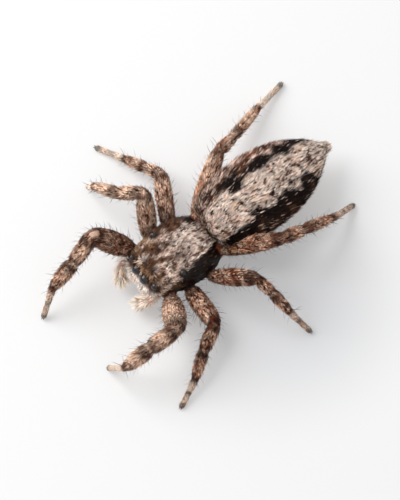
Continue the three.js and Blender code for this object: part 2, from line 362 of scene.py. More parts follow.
@functools.cache
def joint(first, second):
    """The middle of the cut between two neighbouring leg solids."""
    a, b = corners(first), corners(second)
    apart = np.linalg.norm(a[:, None] - b[None], axis=2)
    rim = np.vstack([a[apart.min(1) < RIM_GAP], b[apart.min(0) < RIM_GAP]])
    return ((rim.min(0) + rim.max(0)) / 2 + rim.mean(0)) / 2


def widest(node, start, end, shares):
    """A limb solid's greatest radius about its axis, between two shares of its length."""
    points = corners(node)
    axis = end - start
    along = (points - start) @ axis / (axis @ axis)
    radius = np.linalg.norm(points - start - along[:, None] * axis, axis=1)
    within = (along >= shares[0]) & (along <= shares[1])
    return radius[within].max()


# The middle of a toe is this high, and this far past the flat that stands on the floor. A
# coxa's root is the middle of the points this near to the farthest, and a sole is this thin.
TOE_HEIGHT, TOE_REACH = 0.11, 0.09
ROOT_DEPTH, SOLE_DEPTH = 0.4, 0.01

# A segment's radii are measured over these shares of its length.
BASE_SHARES, MIDDLE_SHARES, END_SHARES = (-0.15, 0.12), (0.3, 0.7), (0.88, 1.15)


@functools.cache
def leg_measures(letter, number):
    """A leg's joints from its root to its toe, and the radii of each segment but the foot."""
    names = [f"leg_{letter}{number}_{part}" for part in LEG_PARTS]
    inner = [joint(a, b) for a, b in zip(names, names[1:])]
    coxa = corners(names[0])
    away = np.linalg.norm(coxa - inner[0], axis=1)
    root = coxa[away > away.max() - ROOT_DEPTH].mean(0)
    foot = corners(names[-1])
    sole = foot[foot[:, 2] < foot[:, 2].min() + SOLE_DEPTH]
    way = unit((sole.mean(0) - inner[-1]) * [1, 1, 0])
    reach = ((sole - inner[-1]) @ way).max()
    toe = np.array([*(inner[-1] + way * (reach + TOE_REACH))[:2], TOE_HEIGHT])
    joints = [root, *inner, toe]
    radii = []
    for name, *ends in zip(names[:-1], joints, joints[1:]):
        radii.append([widest(name, *ends, shares) for shares in (BASE_SHARES, MIDDLE_SHARES, END_SHARES)])
    return joints, radii


# Forms: closed shapes that the skin is joined from ----------------------------------------


class Form:
    """A closed surface. Each of its points keeps how far along the form it lies, its turn around
    the form, the segment and share of a limb that it belongs to, and the way the hair lies."""

    def __init__(self, name, points, faces, along, turn, lie, station=None):
        self.name = name
        self.points = points
        self.faces = faces
        self.along = along
        self.turn = turn
        self.lie = lie
        self.station = along if station is None else station


def closed(rings, ends=None):
    """The points and faces of a surface through rings of points, with a fan over each end."""
    count, sides = rings.shape[:2]
    i = np.arange(sides)
    j = (i + 1) % sides
    faces = []
    for r in range(count - 1):
        a = r * sides
        faces += np.stack([a + i, a + j, a + sides + j, a + sides + i], 1).tolist()
    first, last, end = count * sides, count * sides + 1, (count - 1) * sides
    faces += [[first, b, a] for a, b in zip(i.tolist(), j.tolist())]
    faces += [[last, end + a, end + b] for a, b in zip(i.tolist(), j.tolist())]
    ends = (rings[0].mean(0), rings[-1].mean(0)) if ends is None else ends
    return np.vstack([rings.reshape(-1, 3), *ends]), faces


def turns(sides):
    """Even turns around a ring, from 0 to 1."""
    return np.linspace(0, 1, sides, endpoint=False)


def circle(first, second, sides):
    """Directions all round, from the first way through the second."""
    angle = 2 * np.pi * turns(sides)
    return first[..., None, :] * np.cos(angle)[:, None] + second[..., None, :] * np.sin(angle)[:, None]


def ball(way, count, sides, margin):
    """Rings of a ball of radius 1 about a way, and the directions around it."""
    sweep = np.linspace(margin, np.pi - margin, count)[:, None]
    first = unit(np.cross(way, [0, 0, 1]))
    out = circle(first, np.cross(way, first), sides)
    return np.cos(sweep)[..., None] * way + np.sin(sweep)[..., None] * out[None], out


def tube(middle, radius, sides, steady):
    """Rings of points round a line, which start at its top, and the line's course."""
    course = unit(np.gradient(middle, axis=0))
    side = unit(np.cross(course, steady))
    return middle[:, None] + circle(np.cross(side, course), side, sides) * radius[:, None, None], course


def ring_form(name, rings, along, lie, station=None, turn=None):
    """A form through rings, which measure along once for each ring and turn once for each side."""
    count, sides = rings.shape[:2]

    def spread(values, width=1):
        grid = np.broadcast_to(values, (count, sides, width))
        return np.concatenate([grid.reshape(-1, width), grid[[0, -1], 0]])

    turn = turns(sides) if turn is None else turn
    station = along if station is None else station
    measures = [spread(along[:, None, None])[:, 0], spread(turn[:, None])[:, 0], spread(lie, 3)]
    return Form(name, *closed(rings), *measures, spread(station[:, None, None])[:, 0])


def sunk(rings, depth):
    """Rings of points moved inwards along the surface's normal."""
    down = np.gradient(rings, axis=0)
    around = np.roll(rings, -1, 1) - np.roll(rings, 1, 1)
    normal = unit(np.cross(down, around))
    outward = np.sign(((rings - rings.mean((0, 1))) * normal).sum(-1).mean())
    return rings - outward * depth * normal


# The carapace: shares of its length, half width and height, and the powers of its curves.
CARAPACE = SimpleNamespace(
    face_narrowing=0.32,
    face_curve=1.7,
    corner_rounding=0.086,
    corner_curve=9,
    rear_curve=2.7,
    rear_fullness=0.45,
    rear_margin=0.02,
    crown=0.487,
    face_drop=0.16,
    rear_drop=0.964,
    rear_drop_curve=1.9,
    clypeus_rise=0.146,
    squareness=2.8,
    face_bevel=0.3,
    face_inset=0.16,
    face_dome=0.05,
    face_lie=-0.4,
    groove_at=0.44,
    groove_depth=0.05,
    groove_width=0.05,
    pit_depth=1.2,
    pit_width=0.12,
)
CARAPACE_RINGS, CARAPACE_SIDES, FACE_RINGS = 110, 120, 16


def carapace_form(depth):
    """The head and the back behind it: a low dome with a flat face."""
    c = CARAPACE
    low, high = CARAPACE_LOW, CARAPACE_HIGH
    length, half, height = high[1] - low[1], (high[0] - low[0]) / 2, high[2] - low[2]
    sweep = np.linspace(0, np.pi, CARAPACE_RINGS + 1)
    y = low[1] + length * (1 - np.cos(sweep)) / 2
    y = np.clip(y, low[1], high[1] - c.rear_margin)
    share = (y - low[1]) / length
    ahead = np.clip((WIDEST_SHARE - share) / WIDEST_SHARE, 0, 1)
    behind = np.clip((share - WIDEST_SHARE) / (1 - WIDEST_SHARE), 0, 1)
    slope = np.clip((share - c.crown) / (1 - c.crown), 0, 1)
    brow = np.clip((c.crown - share) / c.crown, 0, 1)
    width = 1 - c.face_narrowing * ahead**c.face_curve
    width -= c.corner_rounding * ahead**c.corner_curve
    width *= (1 - behind**c.rear_curve) ** c.rear_fullness
    floor = low[2] + height * c.clypeus_rise * ahead**3
    top = high[2] - height * (c.face_drop * brow**2 + c.rear_drop * slope**c.rear_drop_curve)
    near_face = np.clip((y - low[1]) / c.face_bevel, 0, 1)
    inset = c.face_inset * (1 - np.sqrt(1 - (1 - near_face) ** 2))
    angle = 2 * np.pi * turns(CARAPACE_SIDES)
    power = 2 / c.squareness
    across = np.sign(np.sin(angle)) * np.abs(np.sin(angle)) ** power
    upper = np.where(np.cos(angle) > 0, np.abs(np.cos(angle)) ** power, 0)
    scale = 1 - inset
    x = BODY_ORIGIN[0] + half * (width * scale)[:, None] * across
    z = floor[:, None] + (top - floor)[:, None] * (upper * scale[:, None] + inset[:, None] / 2)
    # a shallow groove runs across behind the eye field, and a pit lies in its middle
    groove = bump(share, 1 - c.groove_at, c.groove_width)[:, None] * upper**4
    z = z - c.groove_depth * groove * (1 + c.pit_depth * bump(across, 0, c.pit_width))
    rings = np.stack([x, np.repeat(y[:, None], CARAPACE_SIDES, 1), z], 2)
    # the face is closed by smaller and smaller rings, a little domed
    middle = rings[0].mean(0)
    shrink = np.linspace(0, 1, FACE_RINGS, endpoint=False)[:, None, None]
    face = middle + (rings[0] - middle) * shrink
    face[..., 1] -= c.face_dome * (1 - shrink[..., 0] ** 2)
    rings = np.concatenate([face, rings])
    lie = unit(np.gradient(rings, axis=0) + [0, 0.01, 0])
    lie[:FACE_RINGS] = unit(rings[:FACE_RINGS] - middle + [0, 0, c.face_lie])
    return ring_form("carapace", sunk(rings, depth), np.concatenate([np.zeros(FACE_RINGS), share]), lie)


# The abdomen: shares and powers as above, its half width, half height and middle, and how
# far the hair's lie rises at places along it.
ABDOMEN = SimpleNamespace(
    widest=0.443,
    front_curve=2.9,
    front_fullness=0.42,
    rear_curve=2,
    rear_fullness=0.8,
    front_rise=0.16,
    rear_drop=0.26,
    lean=-0.03,
    start_x=-0.045,
    half_width=2.075,
    half_height=1.22,
    middle_z=2.02,
    end_margin=0.02,
    lie_places=(0, 0.3, 1),
    lie_rises=(0.8, 0.15, 0),
    lie_on_form=0.15,
)
ABDOMEN_RINGS, ABDOMEN_SIDES = 150, 120

# Places on the abdomen are shares of its half width and height, but of no less than this.
LEAST_HALF = 0.05


def abdomen_measures(y):
    """Middle x, half width, middle z and half height of the abdomen at each y."""
    a = ABDOMEN
    low, high = span("abdomen")
    share = np.clip((y - low[1]) / (high[1] - low[1]), 0, 1)
    ahead = np.clip((a.widest - share) / a.widest, 0, 1)
    behind = np.clip((share - a.widest) / (1 - a.widest), 0, 1)
    full = (1 - ahead**a.front_curve) ** a.front_fullness
    full = full * (1 - behind**a.rear_curve) ** a.rear_fullness
    middle_x = BODY_ORIGIN[0] + a.start_x + a.lean * (y - low[1])
    middle_z = a.middle_z + a.front_rise * ahead**2 - a.rear_drop * behind**2
    return middle_x, a.half_width * full, middle_z, a.half_height * full


def abdomen_place(points):
    """How far points lie across and up the abdomen, from -1 to 1."""
    x0, half, z0, tall = abdomen_measures(points[:, 1])
    across = (points[:, 0] - x0) / np.maximum(half, LEAST_HALF)
    return across, (points[:, 2] - z0) / np.maximum(tall, LEAST_HALF)


def abdomen_form(depth):
    """A long flat oval, blunt in front and pointed behind."""
    a = ABDOMEN
    low, high = span("abdomen")
    sweep = np.linspace(a.end_margin, np.pi - a.end_margin, ABDOMEN_RINGS + 1)
    y = (low[1] + high[1]) / 2 - (high[1] - low[1]) / 2 * np.cos(sweep)
    angle = 2 * np.pi * turns(ABDOMEN_SIDES)
    x0, half, z0, tall = (m[:, None] for m in abdomen_measures(y))
    x = x0 + half * np.sin(angle)
    z = z0 + tall * np.cos(angle)
    rings = np.stack([x, np.repeat(y[:, None], ABDOMEN_SIDES, 1), z], 2)
    along = (y - low[1]) / (high[1] - low[1])
    rising = np.interp(along, a.lie_places, a.lie_rises)
    backwards = np.stack([np.zeros_like(y), np.ones_like(y), rising], 1)
    lie = unit(backwards[:, None] + a.lie_on_form * unit(np.gradient(rings, axis=0)))
    return ring_form("abdomen", sunk(rings, depth), along, lie)


# Limbs: how far apart the rings are, how many points each has, and the steps of the path
# that they follow.
RING_STEP, LIMB_SIDES, PATH_STEP = 0.06, 28, 0.02
BEND_ROUNDING, RADIUS_EVENING, PINCH_WIDTH = 0.22, 0.16, 0.13

# The first rings of a limb's rounded end, and where the even rings begin.
END_PLACES, END_GAP = (0, 0.02, 0.05), 0.09

# A rounded end starts this far inside its curve, so that its first ring has some width.
END_START = 0.01

# The share of the foot that is metatarsus, and the radii of metatarsus and tarsus.
METATARSUS_SHARE = {1: 0.5, 2: 0.5, 3: 0.44, 4: 0.485}
METATARSUS_RADII = (0.19, 0.175, 0.165)
TARSUS_RADII = (0.165, 0.155, 0.15)
FOOT_DROP = 0.03


def quadratic(values, t):
    """A curve through three values, at the start, middle and end."""
    base, middle, end = values
    return base * (1 - t) * (1 - 2 * t) + 4 * middle * t * (1 - t) + end * t * (2 * t - 1)


def evened(values, width):
    """A running mean along the first axis, that keeps the ends where they are."""
    width = max(1, int(width) | 1)
    pad = width // 2
    before, after = 2 * values[:1] - values[pad:0:-1], 2 * values[-1:] - values[-2:-pad - 2:-1]
    padded = np.concatenate([before, values, after])
    total = np.cumsum(np.concatenate([np.zeros_like(padded[:1]), padded]), axis=0)
    return (total[width:] - total[:-width]) / width


def limb_form(name, joints, radii, pinch):
    """A limb through its joints. Each segment has a radius at its base, middle and end."""
    joints = np.array(joints)
    spine, radius, station = [], [], []
    for k, (start, end) in enumerate(zip(joints, joints[1:])):
        steps = max(2, int(np.linalg.norm(end - start) / PATH_STEP))
        t = np.arange(steps) / steps
        spine.append(start + (end - start) * t[:, None])
        radius.append(quadratic(radii[k], t))
        station.append(k + t)
    spine = np.vstack([*spine, joints[-1:]])
    radius = np.concatenate([*radius, [radii[-1][-1]]])
    station = np.concatenate([*station, [len(joints) - 1]])
    distance = np.concatenate([[0], np.cumsum(np.linalg.norm(np.diff(spine, axis=0), axis=1))])
    radius = evened(radius, RADIUS_EVENING / PATH_STEP)
    for k in range(1, len(joints) - 1):
        radius = radius * (1 - pinch * bump(distance, np.interp(k, station, distance), PINCH_WIDTH))
    for _ in range(2):
        spine = evened(spine, BEND_ROUNDING / PATH_STEP)
    # the ends are rounded off
    for gone in (distance, distance[-1] - distance):
        cap = radius[np.argmin(gone)]
        radius = radius * np.sqrt(1 - (1 - np.clip((gone + END_START) / cap, 0, 1)) ** 2)
    whole = distance[-1]
    even = np.arange(END_GAP, whole - END_GAP, RING_STEP)
    places = np.concatenate([END_PLACES, even, whole - np.array([*END_PLACES, END_GAP])[::-1]])
    middle = np.stack([np.interp(places, distance, spine[:, i]) for i in range(3)], 1)
    radius = np.interp(places, distance, radius)
    station = np.interp(places, distance, station)
    rings, course = tube(middle, radius, LIMB_SIDES, (0, 0, 1))
    return ring_form(name, rings, places / places[-1], course[:, None], station)


# Where a leg is slimmer or stouter than its solids: segment and base, middle or end (0, 1 or
# 2) there, and the share of the radius.
LEG_BUILD = {
    "l3": (((0, 1), 0.7), ((0, 2), 0.55), ((1, 0), 0.5), ((1, 1), 0.88)),
    "r3": (((1, 0), 0.75), ((1, 1), 0.9)),
    "r4": (((1, 0), 0.68), ((1, 1), 0.88)),
    "l4": (((0, 1), 1.15), ((0, 2), 1.2), ((1, 0), 0.88), ((1, 1), 0.93)),
    "r1": (((1, 1), 0.93), ((1, 2), 0.9), ((2, 1), 0.9)),
    "l1": (((2, 1), 1.06), ((3, 1), 1.06)),
}


def leg_form(letter, number, depth, pinch):
    """A leg inside its solids by the depth of its coat."""
    joints, radii = leg_measures(letter, number)
    ankle, toe = joints[-2:]
    # the foot bends down a little at its middle, so that its last length lies flatter
    middle = ankle + (toe - ankle) * METATARSUS_SHARE[number] + [0, 0, -FOOT_DROP]
    radii = [[r - depth for r in three] for three in radii]
    for (segment, place), share in LEG_BUILD.get(f"{letter}{number}", ()):
        radii[segment][place] *= share
    joints = [*joints[:-1], middle, toe]
    return limb_form(f"leg_{letter}{number}", joints, [*radii, METATARSUS_RADII, TARSUS_RADII], pinch)


# The palps, as shares of their solid's box measured from the middle of the body outwards,
# from the back forwards and from the bottom up.
PALP_PATH = (
    (0.22, 0.14, 0.48), (0.7, 0.41, 0.81), (0.75, 0.58, 0.83), (0.52, 0.74, 0.57), (0.24, 0.83, 0.2),
)
PALP_RADII = ((0.17, 0.21, 0.2), (0.19, 0.22, 0.19), (0.18, 0.21, 0.18), (0.18, 0.23, 0.12))
PALP_PINCH = 0.12


def in_box(node, side, shares):
    """The point at some shares of a node's box: outwards, forwards and up."""
    low, high = span(node)
    x0, x1 = (low[0], high[0]) if side > 0 else (high[0], low[0])
    start, end = np.array([x0, high[1], low[2]]), np.array([x1, low[1], high[2]])
    return start + (end - start) * shares


def palp_form(letter):
    """A palp through its path, with its own radii."""
    node = f"palp_{letter}"
    joints = [in_box(node, SIDES[letter], shares) for shares in PALP_PATH]
    return limb_form(node, joints, PALP_RADII, PALP_PINCH)


# The way each eye on the left side looks.
GAZES = {
    "ame": (0.1, -1, 0.02),
    "ale": (0.42, -0.9, 0.1),
    "pme": (0.75, -0.35, 0.55),
    "ple": (0.72, 0.35, 0.6),
}

# An eye sits in a round rise of skin, whose middle is this share of the eye's radius deeper,
# and on which the hair leans this much with the gaze.
CUP_DEPTH, CUP_LIE = 0.42, 0.3
CUP_RINGS, CUP_SIDES, CUP_MARGIN = 20, 36, 0.05


@functools.cache
def eye_measures():
    """Each eye's name, middle, radius and the way it looks."""
    eyes = []
    for kind, (letter, side) in itertools.product(GAZES, SIDES.items()):
        low, high = span(f"eye_{kind}_{letter}")
        gaze = unit(np.array(GAZES[kind]) * [side, 1, 1])
        eyes.append((f"eye_{kind}_{letter}", (low + high) / 2, (high[2] - low[2]) / 2, gaze))
    return eyes


def cup_form(name, middle, radius, gaze, lids):
    """The round rise of skin that an eye sits in."""
    rings, out = ball(gaze, CUP_RINGS, CUP_SIDES, CUP_MARGIN)
    rings = middle - gaze * radius * CUP_DEPTH + rings * radius * lids
    lie = unit(out[None] + gaze * CUP_LIE)
    return ring_form("cup_" + name, rings, np.zeros(CUP_RINGS), lie, turn=np.zeros(CUP_SIDES))


# Points of a solid that are nearer than this are one, and it is rounded this many times.
SAME_POINT, ROUNDINGS = 1e-4, 2


def node_form(node):
    """A plain solid, rounded and so drawn in a little."""
    mesh = bpy.data.meshes.new(node)
    shape = bmesh.new()
    shape.from_mesh(frame["nodes"][node].data)
    bmesh.ops.scale(shape, vec=(1 / MM,) * 3, verts=shape.verts)
    bmesh.ops.remove_doubles(shape, verts=shape.verts, dist=SAME_POINT)
    bmesh.ops.recalc_face_normals(shape, faces=shape.faces)
    shape.to_mesh(mesh)
    shape.free()
    holder = placed(node, mesh, smooth=False)
    holder.modifiers.new("rounded", "SUBSURF").levels = ROUNDINGS
    rounded = evaluated_mesh(holder)
    drop(holder)
    points = mesh_points(rounded)
    faces = [list(polygon.vertices) for polygon in rounded.polygons]
    bpy.data.meshes.remove(rounded)
    turn, along, _ = ((points - points.min(0)) / np.ptp(points, axis=0)).T
    return Form(node, points, faces, along, turn, np.tile([0, 1.0, 0], (len(points), 1)))


# Mesh helpers -----------------------------------------------------------------------------


def mesh_points(mesh):
    """A mesh's points, one a row."""
    points = np.empty(len(mesh.vertices) * 3)
    mesh.vertices.foreach_get("co", points)
    return points.reshape(-1, 3)


def mesh_normals(mesh):
    """The normals of a mesh's points, one a row."""
    normals = np.empty(len(mesh.vertices) * 3)
    mesh.vertex_normals.foreach_get("vector", normals)
    return normals.reshape(-1, 3)


def loop_points(mesh):
    """The number of the point at each corner of a mesh's faces."""
    points = np.empty(len(mesh.loops), int)
    mesh.loops.foreach_get("vertex_index", points)
    return points


def rest_on_floor(mesh):
    """Lifts the points that are below the floor up to it."""
    points = mesh_points(mesh)
    points[:, 2] = np.maximum(points[:, 2], 0)
    mesh.vertices.foreach_set("co", points.ravel())
    mesh.update()


def drop(thing):
    mesh = thing.data
    bpy.data.objects.remove(thing)
    if mesh.users == 0:
        bpy.data.meshes.remove(mesh)


def evaluated_mesh(thing):
    """The object's mesh with its modifiers applied, as a mesh of its own."""
    bpy.context.view_layer.update()
    graph = bpy.context.evaluated_depsgraph_get()
    return bpy.data.meshes.new_from_object(thing.evaluated_get(graph))


def placed(name, mesh, smooth=True):
    """A new object of that mesh in the scene."""
    thing = bpy.data.objects.new(name, mesh)
    mesh.name = name
    bpy.context.scene.collection.objects.link(thing)
    if smooth:
        mesh.shade_smooth()
    return thing


def mesh_of(name, points, faces):
    mesh = bpy.data.meshes.new(name)
    mesh.from_pydata(np.asarray(points).tolist(), [], faces)
    mesh.update()
    return mesh


def faced_out(mesh):
    """Turns the faces of a closed mesh outwards."""
    shape = bmesh.new()
    shape.from_mesh(mesh)
    bmesh.ops.recalc_face_normals(shape, faces=shape.faces)
    shape.to_mesh(mesh)
    shape.free()
    return mesh


# The kinds of value a mesh keeps for each point, by their width.
KINDS = {1: ("FLOAT", "value"), 3: ("FLOAT_VECTOR", "vector"), 4: ("FLOAT_COLOR", "color")}


def keep(mesh, name, values):
    """Stores a number, a vector or a colour for each point of a mesh."""
    values = np.asarray(values, np.float32)
    kind, field = KINDS[values.size // len(mesh.vertices)]
    mesh.attributes.new(name, kind, "POINT").data.foreach_set(field, values.ravel())


def kept(mesh, name, width):
    """Reads back what keep has stored."""
    values = np.empty(len(mesh.vertices) * width, np.float32)
    mesh.attributes[name].data.foreach_get(KINDS[width][1], values)
    return values.reshape(-1, width)


def opaque(colours):
    return np.concatenate([colours, np.ones((len(colours), 1))], axis=1)


def finish_piece(thing, slot, *nodes):
    """Hangs a piece on the still body, with its finish and the solids it stands for."""
    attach(thing, "root")
    if nodes:
        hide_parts(*nodes)


# Markings ---------------------------------------------------------------------------------
# Every rule below gives, for some points of the skin, what the coat and the cuticle are there.

# Flat hair lies at about these angles to the skin, in degrees.
BODY_RISE, FACE_RISE, LEG_RISE, PALP_RISE = 13, 20, 17, 26


def blank_marks(count):
    """The bare dark cuticle, which the rules below then dress."""
    tones = {"tint": "taupe_hair", "other": "dark_hair", "cuticle": "cuticle_brown"}
    levels = {"share": 0, "cover": 1, "length": 1, "rise": BODY_RISE, "gloss": 0, "clumps": 1}
    marks = {key: np.tile(colour(name), (count, 1)) for key, name in tones.items()}
    return marks | {key: np.full(count, float(level)) for key, level in levels.items()}


def rings_at(station, rings):
    """How strong the rings of a leg are at its stations."""
    return strongest(strength * bump(station, at, width) for at, width, strength in rings)


# The edges of the abdomen's pale band on the left and the right, as places along the abdomen
# and half widths there, both as shares of the abdomen's own.
BAND_EDGES = {
    1: (
        (0, 0.95), (0.05, 0.86), (0.14, 0.7), (0.2, 0.69), (0.235, 0.62), (0.255, 0.49),
        (0.3, 0.47), (0.33, 0.54), (0.37, 0.63), (0.44, 0.61), (0.48, 0.54), (0.53, 0.52),
        (0.57, 0.61), (0.62, 0.72), (0.66, 0.67), (0.685, 0.5), (0.725, 0.5), (0.745, 0.63),
        (0.77, 0.8), (0.8, 0.94), (0.86, 1.05), (1, 1.05),
    ),
    -1: (
        (0, 0.52), (0.07, 0.44), (0.21, 0.42), (0.23, 0.36), (0.245, 0.15), (0.3, 0.14),
        (0.325, 0.24), (0.36, 0.33), (0.4, 0.36), (0.44, 0.33), (0.47, 0.29), (0.54, 0.28),
        (0.57, 0.34), (0.61, 0.39), (0.65, 0.4), (0.675, 0.36), (0.695, 0.27), (0.72, 0.3),
        (0.75, 0.45), (0.79, 0.57), (0.86, 0.68), (0.93, 0.85), (1, 0.95),
    ),
}

# The black blotches beside the band on the right: place along the abdomen, half length, and
# how far across they reach.
BLOTCHES = ((0.27, 0.06, 0.6), (0.5, 0.1, 0.58), (0.7, 0.07, 0.72), (0.85, 0.1, 1.0))


# How much farther round the sides the underside counts as lying.
UNDER_SPREAD = 0.8


def abdomen_marks(points, along, marks):
    """A pale band with toothed edges between dark flanks."""
    across, up = abdomen_place(points)
    across = np.where(up < 0, np.sign(across) * (1 + UNDER_SPREAD * np.abs(up)), across)
    past_edge = past_edges(BAND_EDGES, across, along + waver(points, 0.3, 12, 0.012))
    past_edge = past_edge + waver(points, 0.14, 11, 0.1)
    left = ease(-0.1, 0.1, across)
    band = 1 - ease(-0.02, 0.02, past_edge)
    # a thin dark line runs through the pale end on the right side
    line = bump(along, 0.855 + 0.08 * (-across - 0.6), 0.009)
    line = line * ease(-0.35, -0.42, across) * ease(-0.98, -0.85, across)
    tip = ease(0.88, 0.95, along)

    # the pale band: cream hairs, with darker flecks and a few ochre ones
    patch = mottle(points, 0.5, 22)
    fine = mottle(points, 0.1, 29)
    cream = 0.35 + 0.65 * np.maximum(tip, ease(0.36, 0.58, fine))
    pale = mix("taupe_hair", "cream_hair", cream)
    pale = mix(pale, "pale_hair", 0.6 * ease(0.4, 0.7, patch))
    pale = mix(pale, "ochre_hair", 0.55 * ease(0.64, 0.74, mottle(points, 0.28, 23)))
    pale = mix(pale, "grey_hair", 0.45 * tip)
    fleck = mix("dark_hair", "brown_hair", ease(0.4, 0.6, mottle(points, 0.22, 27)))
    pale_share = 0.06 + 0.94 * ease(0.58, 0.64, mottle(points, 0.14, 21)) * (1 - 0.5 * tip)
    pale_share = np.maximum(pale_share, 0.5 * line)

    # the flanks: a black seam beside the band, then brown with pale and rusty streaks
    beyond = past_edge + waver(points, 0.25, 24, 0.22)
    ragged = waver(points, 0.2, 31, 0.25)
    blot = strongest(
        ease(1.3, 0.8, np.abs(along - at) / reach) * ease(0.06, -0.06, -across - (out + ragged))
        for at, reach, out in BLOTCHES
    )
    seam = ease(0.2, 0.1, past_edge) * ease(0.2, 0.3, along)
    fade = (1 - blot) * (1 - 0.85 * seam) * (1 - left) + 0.9 * ease(0.1, 0.5, beyond) * left
    streak = mottle(points * [1, 0.4, 1], 0.1, 25)
    rust = ease(0.45, 0.6, mottle(points, 0.5, 30)) * ease(0.3, 0.45, along) * ease(0.75, 0.6, along)
    right_tone = mix("dark_hair", "brown_hair", ease(0.42, 0.56, streak))
    right_tone = mix(right_tone, "rust_hair", 0.3 * rust)
    sparse = 0.03 * ease(0.4, 0.25, along)
    right_tone = mix(right_tone, "pale_hair", 0.85 * ease(0.55, 0.62, streak - sparse))
    left_tone = mix("black_hair", "dark_hair", ease(0.35, 0.5, streak))
    left_tone = mix(left_tone, "brown_hair", ease(0.47, 0.6, streak))
    left_tone = mix(left_tone, "taupe_hair", ease(0.56, 0.66, streak) * ease(0.1, -0.25, up))
    flank = mix(right_tone, left_tone, left * ease(-0.75, -0.1, up))
    flank = mix("black_hair", flank, fade)
    below = ease(-0.15, -0.6, up)
    belly = mix("brown_hair", "taupe_hair", ease(0.3, 0.7, mottle(points, 0.25, 26)))
    flank = mix(flank, belly, below)
    flank_share = 0.02 + (0.3 - 0.16 * left) * ease(0.45, 0.6, streak) * fade + 0.25 * below

    marks["tint"] = mix(flank, pale, band * (1 - line))
    marks["other"] = mix("pale_hair", fleck, band)
    marks["share"] = flank_share + (pale_share - flank_share) * band
    marks["cuticle"] = mix("cuticle_black", "brown_hair", 0.5 * band + 0.5 * below)
    marks["length"] = 0.95 + 0.35 * (1 - band) - 0.3 * below
    marks["rise"] = BODY_RISE + 5.0 * (1 - band)
    marks["cover"] = 1 - 0.35 * below


# The edges of the carapace's pale back, left and right, from front to rear in the body's own
# measures, and dark spots on both sides of it as a place and a radius.
BACK_EDGES = {
    1: (
        (-2.6, 1.3), (-0.9, 1.42), (-0.5, 1.3), (-0.2, 1.1), (0.3, 1.08), (0.8, 1.0), (1.2, 0.86),
        (1.6, 0.6), (2.1, 0.4),
    ),
    -1: (
        (-2.6, 1.2), (-0.8, 1.2), (-0.4, 1.0), (0.0, 0.86), (0.45, 0.76), (0.7, 1.08), (0.9, 1.1),
        (1.3, 0.84), (2.1, 0.6),
    ),
}
FIELD_SPOTS = (
    (0.3, -1.87, 0.15), (0.42, -1.15, 0.13), (0.76, -1.72, 0.14), (0.72, -2.3, 0.13), (0.76, -1.15, 0.12),
    (0.55, -0.33, 0.12), (0.35, 0.95, 0.08), (0.66, 0.65, 0.1), (0.15, 0.35, 0.07), (0.5, 1.25, 0.07),
)


